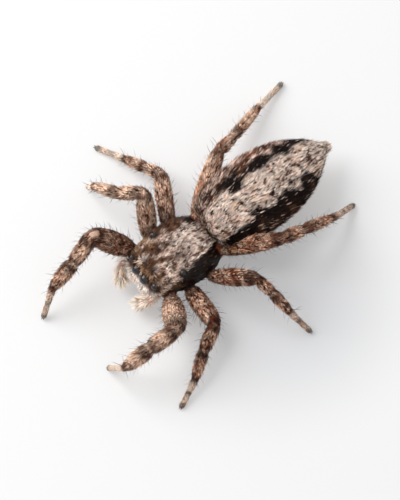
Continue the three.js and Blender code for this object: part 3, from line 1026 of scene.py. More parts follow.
def carapace_marks(points, marks):
    """A pale back with dark spots, a black margin and a furred face."""
    x, y, z = (points - BODY_ORIGIN).T
    low, high = CARAPACE_LOW[2], CARAPACE_HIGH[2]
    height = (z - low) / (high - low)
    past = past_edges(BACK_EDGES, x, y) + waver(points, 0.18, 31, 0.18)
    back = 1 - ease(-0.04, 0.04, past)
    ahead = ease(-0.35, -0.95, y)
    face = ease(-2.3, -2.48, y)
    right = ease(0.1, -0.1, x)

    # streaky clumps, pale behind and browner between the eyes
    clump = mottle(points * [1, 0.6, 1], 0.24, 32)
    fine = mottle(points, 0.11, 41)
    rear_pale = mix("pale_hair", "cream_hair", 0.3 + 0.7 * ease(0.4, 0.6, fine))
    worn = 0.6 * ease(0.48, 0.6, mottle(points, 0.2, 33)) * ease(0.5, -0.3, y)
    rear_pale = mix(rear_pale, "brown_hair", worn)
    field = mix("brown_hair", "pale_hair", ease(0.4, 0.54, clump))
    field = mix(field, "cream_hair", 0.8 * ease(0.54, 0.66, clump))
    ochre = ease(0.4, 0.6, mottle(points, 0.5, 35)) * ease(0.4, 1.0, np.abs(x))
    ochre = ochre * ahead * (0.3 + 0.7 * right)
    front = ease(-1.9, -2.3, y)
    field = mix(field, "ochre_hair", 0.5 * np.maximum(ochre, 0.6 * front))
    tone = mix(rear_pale, field, ahead)
    uneven = waver(points, 0.12, 36, 0.12)
    spots = strongest(
        1 - ease(0.5 * radius, 1.3 * radius, np.hypot(np.abs(x) - at_x, y - at_y) + uneven)
        for at_x, at_y, radius in FIELD_SPOTS
    )
    trench = bump(np.abs(x), 0.38 - 0.1 * (y + 0.6), 0.09) * ease(-1.2, -0.9, y) * ease(-0.1, -0.4, y)
    middle_line = bump(x, 0.02, 0.04) * ease(-0.35, -0.1, y) * ease(1.0, 0.4, y)
    dark = strongest([0.8 * spots, 0.65 * trench, 0.6 * middle_line])
    tone = mix(tone, "dark_hair", dark)
    tone_share = 0.07 + 0.8 * ease(0.56, 0.66, mottle(points, 0.14, 42)) + 0.04 * ahead

    # beyond the back: brown hair high on the right side, then the bare black margin
    brown = mix("dark_hair", "brown_hair", ease(0.42, 0.6, mottle(points, 0.12, 37)))
    high_side = ease(0.5, 0.68, height) * (0.1 + 0.9 * right) * ease(1.15, 0.8, y)
    head_side = ease(-0.9, -1.5, y) * ease(0.15, 0.5, height)
    furred = np.clip(np.maximum(high_side, head_side), 0, 1)
    side = mix("black_hair", brown, furred)
    side = mix(side, "ochre_hair", (0.2 + 0.75 * right) * head_side * ease(0.36, 0.52, fine))
    side_cover = 0.1 + 0.8 * furred

    # the face: white and cream hair between and below the eyes
    white = mix("cream_hair", "white_hair", ease(0.4, 0.6, mottle(points, 0.2, 39)))
    low_face = face * ease(0.62, 0.42, height)
    brow = mix(white, "ochre_hair", 0.55 * ease(0.5, 0.8, height))
    brow = mix(brow, "brown_hair", ease(0.35, 0.6, np.abs(x)) * ease(0.35, 0.6, height))
    marks["tint"] = mix(mix(side, tone, back), brow, face)
    marks["other"] = mix("dark_hair", "brown_hair", ease(0.35, 0.6, mottle(points, 0.2, 40)))
    marks["share"] = (0.2 + (tone_share - 0.2) * back) * (1 - face) + 0.1 * face
    marks["cover"] = side_cover + (1 - side_cover) * np.maximum(back, face)
    marks["cuticle"] = mix("cuticle_black", "brown_hair", 0.5 * back * (1 - 0.8 * dark))
    marks["gloss"] = (1 - back) * (1 - furred) * (1 - face)
    marks["rise"] = BODY_RISE + (FACE_RISE - BODY_RISE) * np.maximum(face, 0.5 * ahead)
    marks["rise"] += 22 * low_face
    marks["length"] = 0.85 - 0.1 * ahead - 0.3 * face + 0.75 * low_face
    marks["length"] += 0.9 * back * ease(1.3, 1.9, y)


# Dark and pale rings of a leg: place as a segment's number and share, half width, strength.
DARK_RINGS = (
    (1.05, 0.12, 0.5), (1.93, 0.1, 0.85), (2.17, 0.15, 0.85), (2.88, 0.09, 0.9),
    (3.13, 0.12, 0.9), (3.92, 0.11, 0.9), (4.1, 0.12, 0.5), (4.88, 0.13, 0.8),
)
PALE_RINGS = (
    (1.75, 0.1, 0.5), (2.55, 0.16, 0.7), (3.0, 0.03, 1.0),
    (3.5, 0.16, 0.6), (4.45, 0.22, 0.7), (5.3, 0.3, 0.8),
)

# How warm, how dark and how pale each leg is, and how much paler its front side is. The darkness and paleness
# are partly each leg's own colour and partly painted shade on the legs of the shaded side and painted light
# on those of the lit side; the paler front side is painted light.
LEG_TONES = {
    "l1": (0.1, 0.2, 0.85, 0.5), "r1": (0.5, 0.4, 0.3, 0.2), "l2": (0.4, 0.5, 0.15, 0.15),
    "r2": (0.3, 0.2, 0.9, 0.25), "l3": (0.6, 0.7, 0.15, 0.0), "r3": (0.45, 0.35, 0.8, 0.1),
    "l4": (0.85, 0.42, 0.25, -0.1), "r4": (0.8, 0.05, 0.95, 0.0),
}
BARE_KNEES = ("leg_r1", "leg_r2", "leg_r3")

# Stations of a leg, with the length of its hairs there and how much more they rise.
LEG_LENGTHS = (0, 1, 3, 4, 4.4, 5, 6), (0.7, 0.95, 1.1, 0.95, 0.62, 0.5, 0.5)
LEG_RISES = (0, 1, 2.5, 3.5, 4.3, 6), (-7, -4, 2, 5, -3, -5)


def leg_marks(points, name, station, turn, marks):
    """Mottled and ringed legs, each with its own tones, on pale feet."""
    # the darkness and the light of a whole leg are partly painted shade and painted light
    warmth, darkness_and_shade, light, painted_front_light = LEG_TONES[name[-2:]]
    seed = 100 + 10 * int(name[-1]) + (name[-2] == "r")
    sway = station + waver(points, 0.25, seed, 0.1)
    top = np.cos(2 * np.pi * turn)
    front = np.sin(2 * np.pi * turn) * SIDES[name[-2]]
    foot = ease(3.95, 4.1, station)
    patch = mottle(points, 0.26, seed + 2)
    fine = mottle(points, 0.1, seed + 1)

    # mottles of cream, tan and brown
    # the front side is painted lighter here and below, as painted light
    cream = ease(0.62 - 0.35 * light, 0.72 - 0.35 * light, patch) + 0.5 * light * front
    tone = mix("leg_tan", "leg_cream", cream)
    warm_patch = ease(0.4, 0.62, mottle(points, 0.32, seed + 3))
    tone = mix(tone, "leg_orange", warmth * (0.22 + 0.7 * warm_patch))
    browning = ease(0.45 + 0.15 * darkness_and_shade, 0.35 + 0.15 * darkness_and_shade, patch) * (0.4 + 0.6 * darkness_and_shade)
    tone = mix(tone, "leg_brown", (browning - painted_front_light * front) * (1 - foot))
    if name == "leg_l4":
        tone = mix(tone, "cuticle_amber", 0.85 * ease(1.5, 1.2, station))
    if name in BARE_KNEES:
        tone = mix(tone, "leg_brown", 0.4 * ease(2.0, 1.8, station))
    tone = mix(tone, "foot_pale", (0.75 + 0.2 * light) * foot)
    rust = ease(0.5, 0.62, mottle(points, 0.17, seed + 7)) * foot * (1 - 0.75 * light)
    tone = mix(tone, "leg_orange", 0.5 * rust)
    pale = rings_at(sway, PALE_RINGS)
    tone = mix(tone, "leg_cream", pale * (0.35 + 0.65 * light))
    blotch = mottle(points, 0.19, seed + 6)
    tone = mix(tone, "leg_dark", (0.4 + 0.45 * darkness_and_shade) * ease(0.52, 0.6, blotch) * (1 - foot))
    tone = mix(tone, "leg_cream", 0.6 * ease(0.46, 0.38, blotch) * (1 - foot))
    fleck = ease(0.56, 0.66, mottle(points, 0.09, seed + 5))
    tone = mix(tone, "leg_cream", (0.65 + 0.3 * light) * fleck * (1 - foot))
    tip = ease(5.5, 5.75, station)
    knee_spot = ease(0.07, 0.035, np.abs(station - 2.0)) * ease(0.76, 0.9, top) * (name in BARE_KNEES)
    dark = rings_at(sway, DARK_RINGS) * (1 - knee_spot) * (0.6 + 0.9 * fine)
    dark = np.clip(dark * (1 - 0.2 * light) * (1 - 0.7 * light * foot), 0, 1)
    tone = mix(tone, "leg_dark", dark)
    tone = mix(tone, "foot_grey", 0.75 * tip)
    tone = mix(tone, "membrane", knee_spot)

    marks["tint"] = tone
    marks["other"] = mix("leg_dark", "leg_brown", ease(0.45, 0.6, mottle(points, 0.2, seed + 4)))
    share = 0.08 + 0.22 * darkness_and_shade + 0.7 * ease(0.54, 0.64, fine) - 0.1 * pale
    marks["share"] = np.clip(share, 0, 1) * (1 - 0.4 * light) * (1 - 0.8 * foot) * (1 - knee_spot)
    coxa = ease(1.04, 0.94, station)
    below = ease(0.2, -0.5, top)
    cuticle = mix("leg_dark", "leg_orange", 0.3 * warmth + 0.1 + 0.3 * below + 0.2 * foot)
    cuticle = mix(cuticle, "leg_dark", 0.75 * dark)
    cuticle = mix(cuticle, "foot_pale", 0.8 * foot * (1 - dark))
    cuticle = mix(cuticle, "cuticle_red", coxa)
    marks["cuticle"] = mix(cuticle, "membrane", knee_spot)
    marks["cover"] = (1 - 0.72 * coxa) * (1 - 0.8 * knee_spot) * (1 - 0.3 * below)
    marks["gloss"] = 0.8 * coxa
    # paler legs get less of the painted clump shade
    marks["clumps"] = 1 - 0.6 * light
    marks["length"] = np.interp(station, *LEG_LENGTHS)
    marks["rise"] = LEG_RISE + np.interp(station, *LEG_RISES)


# Stations of a palp's bare joints, half their width, and the length of its hairs.
PALP_JOINTS, PALP_JOINT_WIDTH = (0.95, 1.95, 2.9), 0.22
PALP_LENGTHS = (0, 1, 2, 3, 4), (0.7, 0.75, 0.75, 0.95, 1.1)


def palp_marks(points, station, marks):
    """Pale shaggy palps with bare pink joints."""
    patch = mottle(points, 0.25, 61)
    ring = strongest(bump(station, at, PALP_JOINT_WIDTH) for at in PALP_JOINTS)
    marks["tint"] = mix("palp_cream", "palp_pink", 0.25 * ring)
    marks["other"] = colour("ochre_hair")
    marks["share"] = 0.05 + 0.12 * ease(0.55, 0.75, patch)
    marks["cuticle"] = mix("palp_cream", "palp_pink", 0.35 + 0.65 * ring)
    marks["cover"] = ease(0.0, 0.2, station) * (1 - 0.9 * ring)
    marks["gloss"] = 0.35
    # the palps get none of the painted clump shade
    marks["clumps"] = 0
    marks["rise"] = PALP_RISE
    marks["length"] = np.interp(station, *PALP_LENGTHS)


def underside_marks(points, marks):
    """Thin hair over brown cuticle."""
    patch = mottle(points, 0.3, 71)
    marks["tint"] = mix("taupe_hair", "pale_hair", patch)
    marks["cuticle"] = mix("cuticle_brown", "cuticle_red", ease(0.4, 0.7, patch))
    marks["cover"] = 0.4
    marks["gloss"] = 0.6
    marks["length"] = 0.8


# How far from an eye's middle, in its own radii, its bare rim and its hair ring fade out.
RIM_EDGE, RING_EDGE = (1.32, 1.12), (1.7, 1.25)


def eye_marks(points, lie, marks):
    """Short hair rings the eyes and points away from them, and none grows under them."""
    for name, middle, radius, gaze in eye_measures():
        offset = points - middle
        away = np.linalg.norm(offset, axis=1) / radius
        outward = unit(offset - (offset @ gaze)[:, None] * gaze)
        front = "_ple" not in name and "_pme" not in name
        near = ease(2.3 if front else 2.6, 1.25, away)
        above = ease(-0.08, 0.1, offset[:, 2])[:, None] * front
        lash = outward * (1 - 0.5 * above) + gaze * (0.15 + 0.85 * above)
        lie[:] = unit(lie * (1 - near[:, None]) + lash * near[:, None])
        rim = ease(*RIM_EDGE, away)
        ring = ease(*RING_EDGE, away) * (1 - rim)
        if "_ame" in name:
            over = ease(0.0, 0.25, offset[:, 2])
            inner = ease(0.45, 0.2, np.abs(points[:, 0] - BODY_ORIGIN[0])) * (1 - over)
            marks["tint"] = mix(marks["tint"], "ochre_hair", 0.35 * ring * over)
            marks["tint"] = mix(marks["tint"], "cream_hair", 0.85 * ring * inner)
        elif "_ale" in name:
            marks["tint"] = mix(marks["tint"], "dark_hair", 0.75 * ring)
        else:
            inward = ease(0.1, -0.1, (points[:, 0] - middle[0]) * np.sign(middle[0] - BODY_ORIGIN[0]))
            halo = ease(3.3, 2.6, away) * ease(1.7, 2.2, away) * inward
            marks["tint"] = mix(marks["tint"], "pale_hair", 0.7 * halo)
            marks["tint"] = mix(marks["tint"], "brown_hair", 0.8 * ring)
        marks["share"] = marks["share"] * (1 - 0.7 * ring)
        marks["cuticle"] = mix(marks["cuticle"], "cuticle_black", np.maximum(rim, 0.7 * ring))
        marks["gloss"] = np.maximum(marks["gloss"], rim)
        marks["cover"] = marks["cover"] * (1 - rim)
        shorter = (0.1 if front else 0.45) * near * ease(-0.15, 0.1, offset[:, 2])
        marks["length"] = marks["length"] * (1 - shorter)


# The skin ---------------------------------------------------------------------------------

FLESH_NODES = ("sternum", "pedicel", "mouthparts", "spinnerets")
EVENING = 0.5

# The skin's points with what grows there, once the skin is made.
HIDE = {}


def gathered(parts):
    """The points and faces of several surfaces as one."""
    starts = np.cumsum([0, *[len(points) for points, _ in parts]]).tolist()
    faces = [[i + start for i in face] for (_, own), start in zip(parts, starts) for face in own]
    return np.vstack([points for points, _ in parts]), faces


@functools.cache
def forms():
    """Every closed form that the skin is joined from."""
    shape = bpy.context.scene.spider_shape
    depth = in_mm(shape.coat_depth)
    made = [carapace_form(depth), abdomen_form(depth), *map(node_form, FLESH_NODES)]
    for letter, number in itertools.product(SIDES, LEG_NUMBERS):
        made.append(leg_form(letter, number, in_mm(shape.leg_coat_depth), shape.joint_pinch))
    made += [palp_form(letter) for letter in SIDES]
    made += [cup_form(*eye, shape.eye_lids) for eye in eye_measures()]
    return made


def joined_skin(parts, detail, smoothing):
    """One closed surface over all the parts, in metres."""
    whole = gathered([(part.points, part.faces) for part in parts])
    holder = placed("joining", mesh_of("joining", *whole))
    remesh = holder.modifiers.new("one skin", "REMESH")
    remesh.mode = "VOXEL"
    remesh.voxel_size = detail
    even = holder.modifiers.new("evened", "SMOOTH")
    even.factor = EVENING
    even.iterations = smoothing
    mesh = evaluated_mesh(holder)
    drop(holder)
    mesh.transform(Matrix.Scale(MM, 4))
    return mesh


def nearest_source(parts, points):
    """For each point, the number of the nearest of all the parts' points."""
    sources = np.vstack([part.points for part in parts])
    tree = kdtree.KDTree(len(sources))
    for i, source in enumerate(sources):
        tree.insert(source, i)
    tree.balance()
    return np.array([tree.find(point)[1] for point in points])


def laid(lie, normals, degrees):
    """Ways along a surface, raised from it by some degrees."""
    flat = unit(lie - (lie * normals).sum(-1, keepdims=True) * normals)
    rise = np.radians(degrees)[..., None]
    return flat * np.cos(rise) + normals * np.sin(rise)


class Hide:
    """What is known of each point of the skin: where it is and what grows there."""

    def __init__(self, mesh, parts):
        self.points = mesh_points(mesh) / MM
        self.normals = mesh_normals(mesh)
        # the joined skin has four-cornered faces only
        self.faces = loop_points(mesh).reshape(-1, 4)
        source = nearest_source(parts, self.points)
        owners = [np.full(len(part.points), i) for i, part in enumerate(parts)]
        self.owner = np.concatenate(owners)[source]
        self.names = [part.name for part in parts]
        for field in ("along", "turn", "station", "lie"):
            setattr(self, field, np.concatenate([getattr(part, field) for part in parts])[source])
        self.marks = blank_marks(len(self.points))
        for i, name in enumerate(self.names):
            self.dress(name, self.owner == i)
        eye_marks(self.points, self.lie, self.marks)
        self.lie = laid(self.lie, self.normals, self.marks["rise"])

    def dress(self, name, part):
        if not part.any():
            return
        points = self.points[part]
        marks = {key: values[part] for key, values in self.marks.items()}
        if name == "abdomen":
            abdomen_marks(points, self.along[part], marks)
        elif name.startswith(("carapace", "cup_")):
            carapace_marks(points, marks)
        elif name.startswith("leg_"):
            leg_marks(points, name, self.station[part], self.turn[part], marks)
        elif name.startswith("palp_"):
            palp_marks(points, self.station[part], marks)
        else:
            underside_marks(points, marks)
        if name == "spinnerets":
            marks["tint"] = mix(marks["tint"], "grey_hair", 0.5)
            marks["cover"] = 1
        for key, values in marks.items():
            self.marks[key][part] = values

    def on(self, *starts):
        """Which points belong to the forms whose names start so."""
        wanted = [i for i, name in enumerate(self.names) if name.startswith(starts)]
        return np.isin(self.owner, wanted)


# The coat's colours are a little darker between its clumps, as painted shade: the lowest shade and the range,
# the clumps' size, and the levels of the noise between which they rise.
PAINTED_CLUMP_SHADE, PAINTED_CLUMP_RANGE = 0.62, 0.46
CLUMP_SIZE, CLUMP_LEVELS = 0.13, (0.36, 0.6)


def make_skin():
    """The one skin under the whole coat, with the colours of the coat on it."""
    shape = bpy.context.scene.spider_shape
    parts = forms()
    mesh = joined_skin(parts, in_mm(shape.skin_detail), shape.skin_smoothing)
    rest_on_floor(mesh)
    HIDE[SKIN] = hide = Hide(mesh, parts)
    marks = hide.marks
    # the hair colours are darkened in patches, as painted shade between clumps
    clump = PAINTED_CLUMP_SHADE + PAINTED_CLUMP_RANGE * ease(*CLUMP_LEVELS, mottle(hide.points, CLUMP_SIZE, 90))
    clump = 1 + (clump - 1) * marks["clumps"]
    for tone in ("tint", "other"):
        marks[tone] = marks[tone] * clump[:, None]
    keep(mesh, "cuticle", opaque(marks["cuticle"]))
    keep(mesh, "fur", opaque(mix(marks["tint"], marks["other"], marks["share"])))
    keep(mesh, "bare", 1 - np.clip(marks["cover"], 0, 1))
    keep(mesh, "gloss", marks["gloss"])
    mesh.materials.append(skin_finish())
    flesh = ["carapace", "abdomen", *FLESH_NODES, "palp_l", "palp_r"]
    for letter, number, part in itertools.product(SIDES, LEG_NUMBERS, LEG_PARTS):
        flesh.append(f"leg_{letter}{number}_{part}")
    finish_piece(placed(SKIN, mesh), "underside", *flesh)


# Finishes ---------------------------------------------------------------------------------

NUMBER, TINT = "NodeSocketFloat", "NodeSocketColor"


def blank_finish(name):
    """A material with its main shader and its output, and nothing else."""
    material = bpy.data.materials.new(name)
    material.use_nodes = True
    tree = material.node_tree
    tree.nodes.clear()
    shader = tree.nodes.new("ShaderNodeBsdfPrincipled")
    node_in(tree, "ShaderNodeOutputMaterial", {"Surface": shader.outputs["BSDF"]})
    return material, tree, shader


def fill(tree, node, inputs):
    """Gives a node's inputs, by name or by number, their values or links."""
    for key, value in inputs.items():
        if isinstance(key, str):
            socket = next(s for s in node.inputs if s.name == key and s.enabled)
        else:
            socket = node.inputs[key]
        if isinstance(value, bpy.types.NodeSocket):
            tree.links.new(value, socket)
        else:
            socket.default_value = value


def node_in(tree, kind, inputs=None, **settings):
    """Adds a node with its settings, and values or links for its inputs."""
    node = tree.nodes.new(kind)
    for key, value in settings.items():
        setattr(node, key, value)
    fill(tree, node, inputs or {})
    return node


def out_of(node, name):
    return next(s for s in node.outputs if s.name == name and s.enabled)


def maths_in(tree, operation, first, second):
    return node_in(tree, "ShaderNodeMath", {0: first, 1: second}, operation=operation).outputs[0]


def scaled_in(tree, tone, level):
    """A colour or a vector, that many times as strong."""
    return node_in(tree, "ShaderNodeVectorMath", {0: tone, "Scale": level}, operation="SCALE").outputs[0]


def blend_in(tree, share, first, second):
    """From the first colour to the second, by a share. A colour may be a name."""
    first, second = ((*colour(tone), 1) if isinstance(tone, str) else tone for tone in (first, second))
    node = node_in(tree, "ShaderNodeMix", {"Factor": share, "A": first, "B": second}, data_type="RGBA")
    return out_of(node, "Result")


def range_in(tree, value, low, high, most=1.0, **settings):
    """A value between 0 and most, as one between low and high."""
    inputs = {"Value": value, "From Max": most, "To Min": low, "To Max": high}
    return node_in(tree, "ShaderNodeMapRange", inputs, **settings).outputs["Result"]


def relief_in(tree, height, strength, depth):
    inputs = {"Height": height, "Strength": strength, "Distance": depth * MM}
    return node_in(tree, "ShaderNodeBump", inputs).outputs["Normal"]


def attribute_in(tree, name, colourful=True):
    node = node_in(tree, "ShaderNodeAttribute", attribute_name=name, attribute_type="GEOMETRY")
    return node.outputs["Color" if colourful else "Fac"]


# The fine grain of each finish: its scale over a metre, and its strength.
GRAINS = {
    "fur": (16000.0, 1.2),
    "cuticle": (5000.0, 0.5),
    "hair": (20000.0, 0.25),
    "lens": (7000.0, 0.4),
    "horn": (3500.0, 0.8),
}


@functools.cache
def grain_group():
    """Fine uneven grain: a colour made a little lighter and darker, and a height."""
    tree = bpy.data.node_groups.new("fine grain", "ShaderNodeTree")
    for label, kind in (("Colour", TINT), ("Scale", NUMBER), ("Strength", NUMBER)):
        tree.interface.new_socket(label, in_out="INPUT", socket_type=kind)
    for label, kind in (("Colour", TINT), ("Height", NUMBER)):
        tree.interface.new_socket(label, in_out="OUTPUT", socket_type=kind)
    given = tree.nodes.new("NodeGroupInput").outputs
    place = node_in(tree, "ShaderNodeTexCoord").outputs["Object"]
    inputs = {"Vector": place, "Scale": given["Scale"], "Detail": 4.0, "Roughness": 0.6}
    noise = node_in(tree, "ShaderNodeTexNoise", inputs).outputs["Fac"]
    centred = maths_in(tree, "SUBTRACT", noise, 0.5)
    level = maths_in(tree, "ADD", maths_in(tree, "MULTIPLY", centred, given["Strength"]), 1.0)
    lit = scaled_in(tree, given["Colour"], level)
    node_in(tree, "NodeGroupOutput", {"Colour": lit, "Height": noise})
    return tree


def with_grain(tree, tone, grain):
    """The outputs of the grain group over a colour."""
    scale, strength = GRAINS[grain]
    inputs = {"Colour": tone, "Scale": scale, "Strength": strength}
    return node_in(tree, "ShaderNodeGroup", inputs, node_tree=grain_group()).outputs


# The skin under the coat has the coat's colour this much darker, as painted shade under the hair, and shines
# between these levels.
UNDER_COAT_PAINTED_SHADE, SKIN_ROUGHNESS = 0.5, (0.75, 0.28)

# A hair's colour is darker up to this share of its length, as painted shade at its root: from and to these
# levels.
ROOT_SHARE, ROOT_SHADE_LEVELS = 0.45, (0.45, 1.15)

HAIR_ROUGHNESS = {"body hair": 0.55, "leg hair": 0.5, "palp hair": 0.45, "jaw hair": 0.5, "bristle": 0.4}


@functools.cache
def skin_finish():
    """Cuticle where it is bare, and the colour of flat fur where hair covers it."""
    material, tree, shader = blank_finish("cuticle and close fur")
    fur = with_grain(tree, attribute_in(tree, "fur"), "fur")
    cuticle = with_grain(tree, attribute_in(tree, "cuticle"), "cuticle")
    # the fur colour under the coat is darkened, as painted shade
    fur_in_painted_shade = scaled_in(tree, fur["Colour"], UNDER_COAT_PAINTED_SHADE)
    inputs = {
        "Base Color": blend_in(tree, attribute_in(tree, "bare", False), fur_in_painted_shade, cuticle["Colour"]),
        "Roughness": range_in(tree, attribute_in(tree, "gloss", False), *SKIN_ROUGHNESS),
        "Specular IOR Level": 0.22,
        "Normal": relief_in(tree, fur["Height"], 0.5, 0.03),
    }
    fill(tree, shader, inputs)
    return material


@functools.cache
def hair_finish(name):
    """Hair of its own colour, darker at its root."""
    material, tree, shader = blank_finish(name)
    tint = with_grain(tree, attribute_in(tree, "tint"), "hair")["Colour"]
    # the hair's colour is darkened towards its root, as painted shade
    level = range_in(tree, attribute_in(tree, "reach", False), *ROOT_SHADE_LEVELS, ROOT_SHARE)
    inputs = {
        "Base Color": scaled_in(tree, tint, level),
        "Roughness": HAIR_ROUGHNESS[name],
        "Specular IOR Level": 0.12,
    }
    fill(tree, shader, inputs)
    return material


@functools.cache
def lens_finish():
    """The deep glossy black of an eye, browner at its rim."""
    material, tree, shader = blank_finish("eye lens")
    tone = blend_in(tree, attribute_in(tree, "rim", False), "lens_black", "lens_rim")
    inputs = {
        "Base Color": with_grain(tree, tone, "lens")["Colour"],
        "Roughness": 0.12,
        "Specular IOR Level": 0.2,
        "Coat Weight": 0.8,
        "Coat Roughness": 0.02,
    }
    fill(tree, shader, inputs)
    return material


@functools.cache
def horn_finish(name, tone, roughness):
    """Hard smooth cuticle, as on the jaws and claws."""
    material, tree, shader = blank_finish(name)
    base = tree.nodes.new("ShaderNodeRGB").outputs[0]
    base.default_value = (*colour(tone), 1)
    grain = with_grain(tree, base, "horn")
    inputs = {
        "Base Color": grain["Colour"],
        "Roughness": roughness,
        "Normal": relief_in(tree, grain["Height"], 0.35, 0.02),
    }
    fill(tree, shader, inputs)
    return material


# Eyes, jaws and claws ---------------------------------------------------------------------

EYE_RINGS, EYE_SIDES, EYE_MARGIN = 32, 48, 0.03


def make_eyes():
    """Smooth round lenses in place of the faceted ones."""
    for name, middle, radius, gaze in eye_measures():
        rings, _ = ball(gaze, EYE_RINGS, EYE_SIDES, EYE_MARGIN)
        points, faces = closed(rings, (gaze, -gaze))
        mesh = faced_out(mesh_of(name, (middle + points * radius) * MM, faces))
        keep(mesh, "rim", ease(0.75, 0.2, points @ gaze))
        mesh.materials.append(lens_finish())
        finish_piece(placed(name.replace("eye", "lens"), mesh), "eye", name)


# A jaw's middle line, as shares like the palps', and its half widths from the bottom up.
JAW_PATH = ((0.42, 0.6, 0.0), (0.44, 0.58, 0.16), (0.5, 0.56, 0.45), (0.5, 0.6, 0.75), (0.5, 0.7, 1.0))
JAW_RADII = (0.2, 0.25, 0.31, 0.31, 0.27)
JAW_SIDES, JAW_RINGS = 36, 24

# Each jaw stays this far from the middle of the body.
JAW_GAP = 0.012

# How rough the jaws and the claws are.
JAW_ROUGHNESS, CLAW_ROUGHNESS = 0.28, 0.35

# The fang, on the left side: its root from the jaw's lower end, its way, how far it starts
# inside the jaw, how far its middle sags, and how far it stays above the jaw's lowest point.
FANG_ROOT, FANG_WAY = (0.03, -0.02, 0.04), (-1, 0.25, -0.1)
FANG_START, FANG_SAG, FANG_LIFT = 0.1, 0.06, 0.01
FANG_LENGTH, FANG_RADII = 0.3, (0.075, 0.06, 0.006)
FANG_SIDES, FANG_RINGS = 16, 12

# Rings round a jaw, a fang or a claw are turned from this way, which none of them follows.
STEADY = (1.0, 0.2, 0.1)


def smooth_path(points, count):
    """Even points on a smooth curve through a few."""
    points = np.array(points, float)
    steps = np.linspace(0, len(points) - 1, count)
    padded = np.vstack([2 * points[0] - points[1], points, 2 * points[-1] - points[-2]])
    k = np.minimum(steps.astype(int), len(points) - 2)
    t = (steps - k)[:, None]
    a, b, c, d = (padded[k + i] for i in range(4))
    return 0.5 * (2 * b + (c - a) * t + (2 * a - 5 * b + 4 * c - d) * t**2 + (3 * b - a - 3 * c + d) * t**3)


def tapered(path, radii, sides, rings):
    """Rings of points of a round tapered rod along a smooth path."""
    radius = smooth_path(np.array(radii, float)[:, None], rings)[:, 0]
    return tube(smooth_path(path, rings), radius, sides, STEADY)[0]


def joined(name, ring_sets):
    """One mesh, in metres, of several closed shapes through rings."""
    points, faces = gathered([closed(rings) for rings in ring_sets])
    return faced_out(mesh_of(name, points * MM, faces))


def make_jaws():
    """The two upright jaws under the face, each with its folded fang."""
    for letter, side in SIDES.items():
        node = f"chelicera_{letter}"
        path = [in_box(node, side, shares) for shares in JAW_PATH]
        mirror = np.array([side, 1, 1])
        root, way = path[0] + FANG_ROOT * mirror, FANG_WAY * mirror * FANG_LENGTH
        curve = [root + [FANG_START * side, 0, 0], root + way / 2 - [0, 0, FANG_SAG], root + way]
        body = tapered(path, JAW_RADII, JAW_SIDES, JAW_RINGS)
        fang = tapered(curve, FANG_RADII, FANG_SIDES, FANG_RINGS)
        fang[..., 2] = np.maximum(fang[..., 2], span(node)[0][2] + FANG_LIFT)
        outermost = np.maximum if side > 0 else np.minimum
        for rings in (body, fang):
            rings[..., 0] = outermost(rings[..., 0], BODY_ORIGIN[0] + JAW_GAP * side)
        mesh = joined(f"jaw_{letter}", [body, fang])
        mesh.materials.append(horn_finish("jaw cuticle", "jaw_brown", JAW_ROUGHNESS))
        finish_piece(placed(f"jaw_{letter}", mesh), "jaw", node)


# A claw: its radii, how far it stands out sideways, how far back and up its root is from the
# middle of the toe, how far along its middle is, how far that rises, and how far the tip is
# from the floor when the root's own rise is left out.
CLAW_RADII = (0.02, 0.016, 0.004)
CLAW_SPREAD, CLAW_BACK, CLAW_UP, CLAW_MIDDLE, CLAW_ARCH, CLAW_TIP = 0.05, 0.02, 0.02, 0.6, 0.02, 0.05
CLAW_SIDES, CLAW_RINGS = 10, 10


def make_claws():
    """Two small hooked claws at the end of each foot."""
    length = in_mm(bpy.context.scene.spider_shape.claw_length)
    for letter, number in itertools.product(SIDES, LEG_NUMBERS):
        *_, ankle, toe = leg_measures(letter, number)[0]
        course = unit((toe - ankle) * [1, 1, 0])
        side = np.array([-course[1], course[0], 0])
        claws = []
        for hand in (-1, 1):
            root = toe + side * hand * CLAW_SPREAD - course * CLAW_BACK + [0, 0, CLAW_UP]
            middle = root + course * CLAW_MIDDLE * length + [0, 0, CLAW_ARCH]
            tip = root + course * length + [0, 0, CLAW_TIP - toe[2]]
            claws.append(tapered([root, middle, tip], CLAW_RADII, CLAW_SIDES, CLAW_RINGS))
        mesh = joined(f"claws_{letter}{number}", claws)
        mesh.materials.append(horn_finish("claw horn", "leg_dark", CLAW_ROUGHNESS))
        finish_piece(placed(f"claws_{letter}{number}", mesh), "foot_coat")


# The coat ---------------------------------------------------------------------------------

# Hairs as stations along them: share of the length, half width and height above the base
# line, both as shares of the width.
HAIRS = {
    "flat hair": ((0.42, 0.5, 0.35),),
    "fine hair": ((0.1, 0.5, 0.3), (0.55, 0.42, 2.2)),
}

# How far a hair's two lower edges and its ridge are from its middle height.
HAIR_LOW, HAIR_RIDGE = 0.12, 0.14

# How far a hair may roll, how much its length varies, how widths vary, and how much slimmer
# short hairs are.
ROLL, LENGTH_VARIATION, WIDTH_RANGE, SLIMMING = 0.35, 0.3, (0.75, 1.25), 0.7

# How many hairs are tried for in a square of the spacing.
CROWDING = 1.6


@functools.cache
def hair_shape(name):
    """A closed hair along +Y, one long and one wide: a root, three-cornered rings, a tip."""
    stations = HAIRS[name]
    points = [(0, 0, 0)]
    for along, half, height in stations:
        low = height - HAIR_LOW
        points += [(-half, along, low), (half, along, low), (0, along, height + HAIR_RIDGE)]
    points.append((0, 1, 0))
    faces = []
    for k in range(3):
        after = (k + 1) % 3
        faces.append((0, 1 + k, 1 + after))
        for r in range(len(stations) - 1):
            a, b = 1 + 3 * r + k, 1 + 3 * r + after
            faces.append((a, a + 3, b + 3, b))
        last = 1 + 3 * (len(stations) - 1)
        faces.append((last + k, len(points) - 1, last + after))
    mesh = faced_out(mesh_of(name, points, faces))
    keep(mesh, "reach", np.array([p[1] for p in points]))
    thing = placed(name, mesh, smooth=False)
    thing.hide_render = True
    return thing


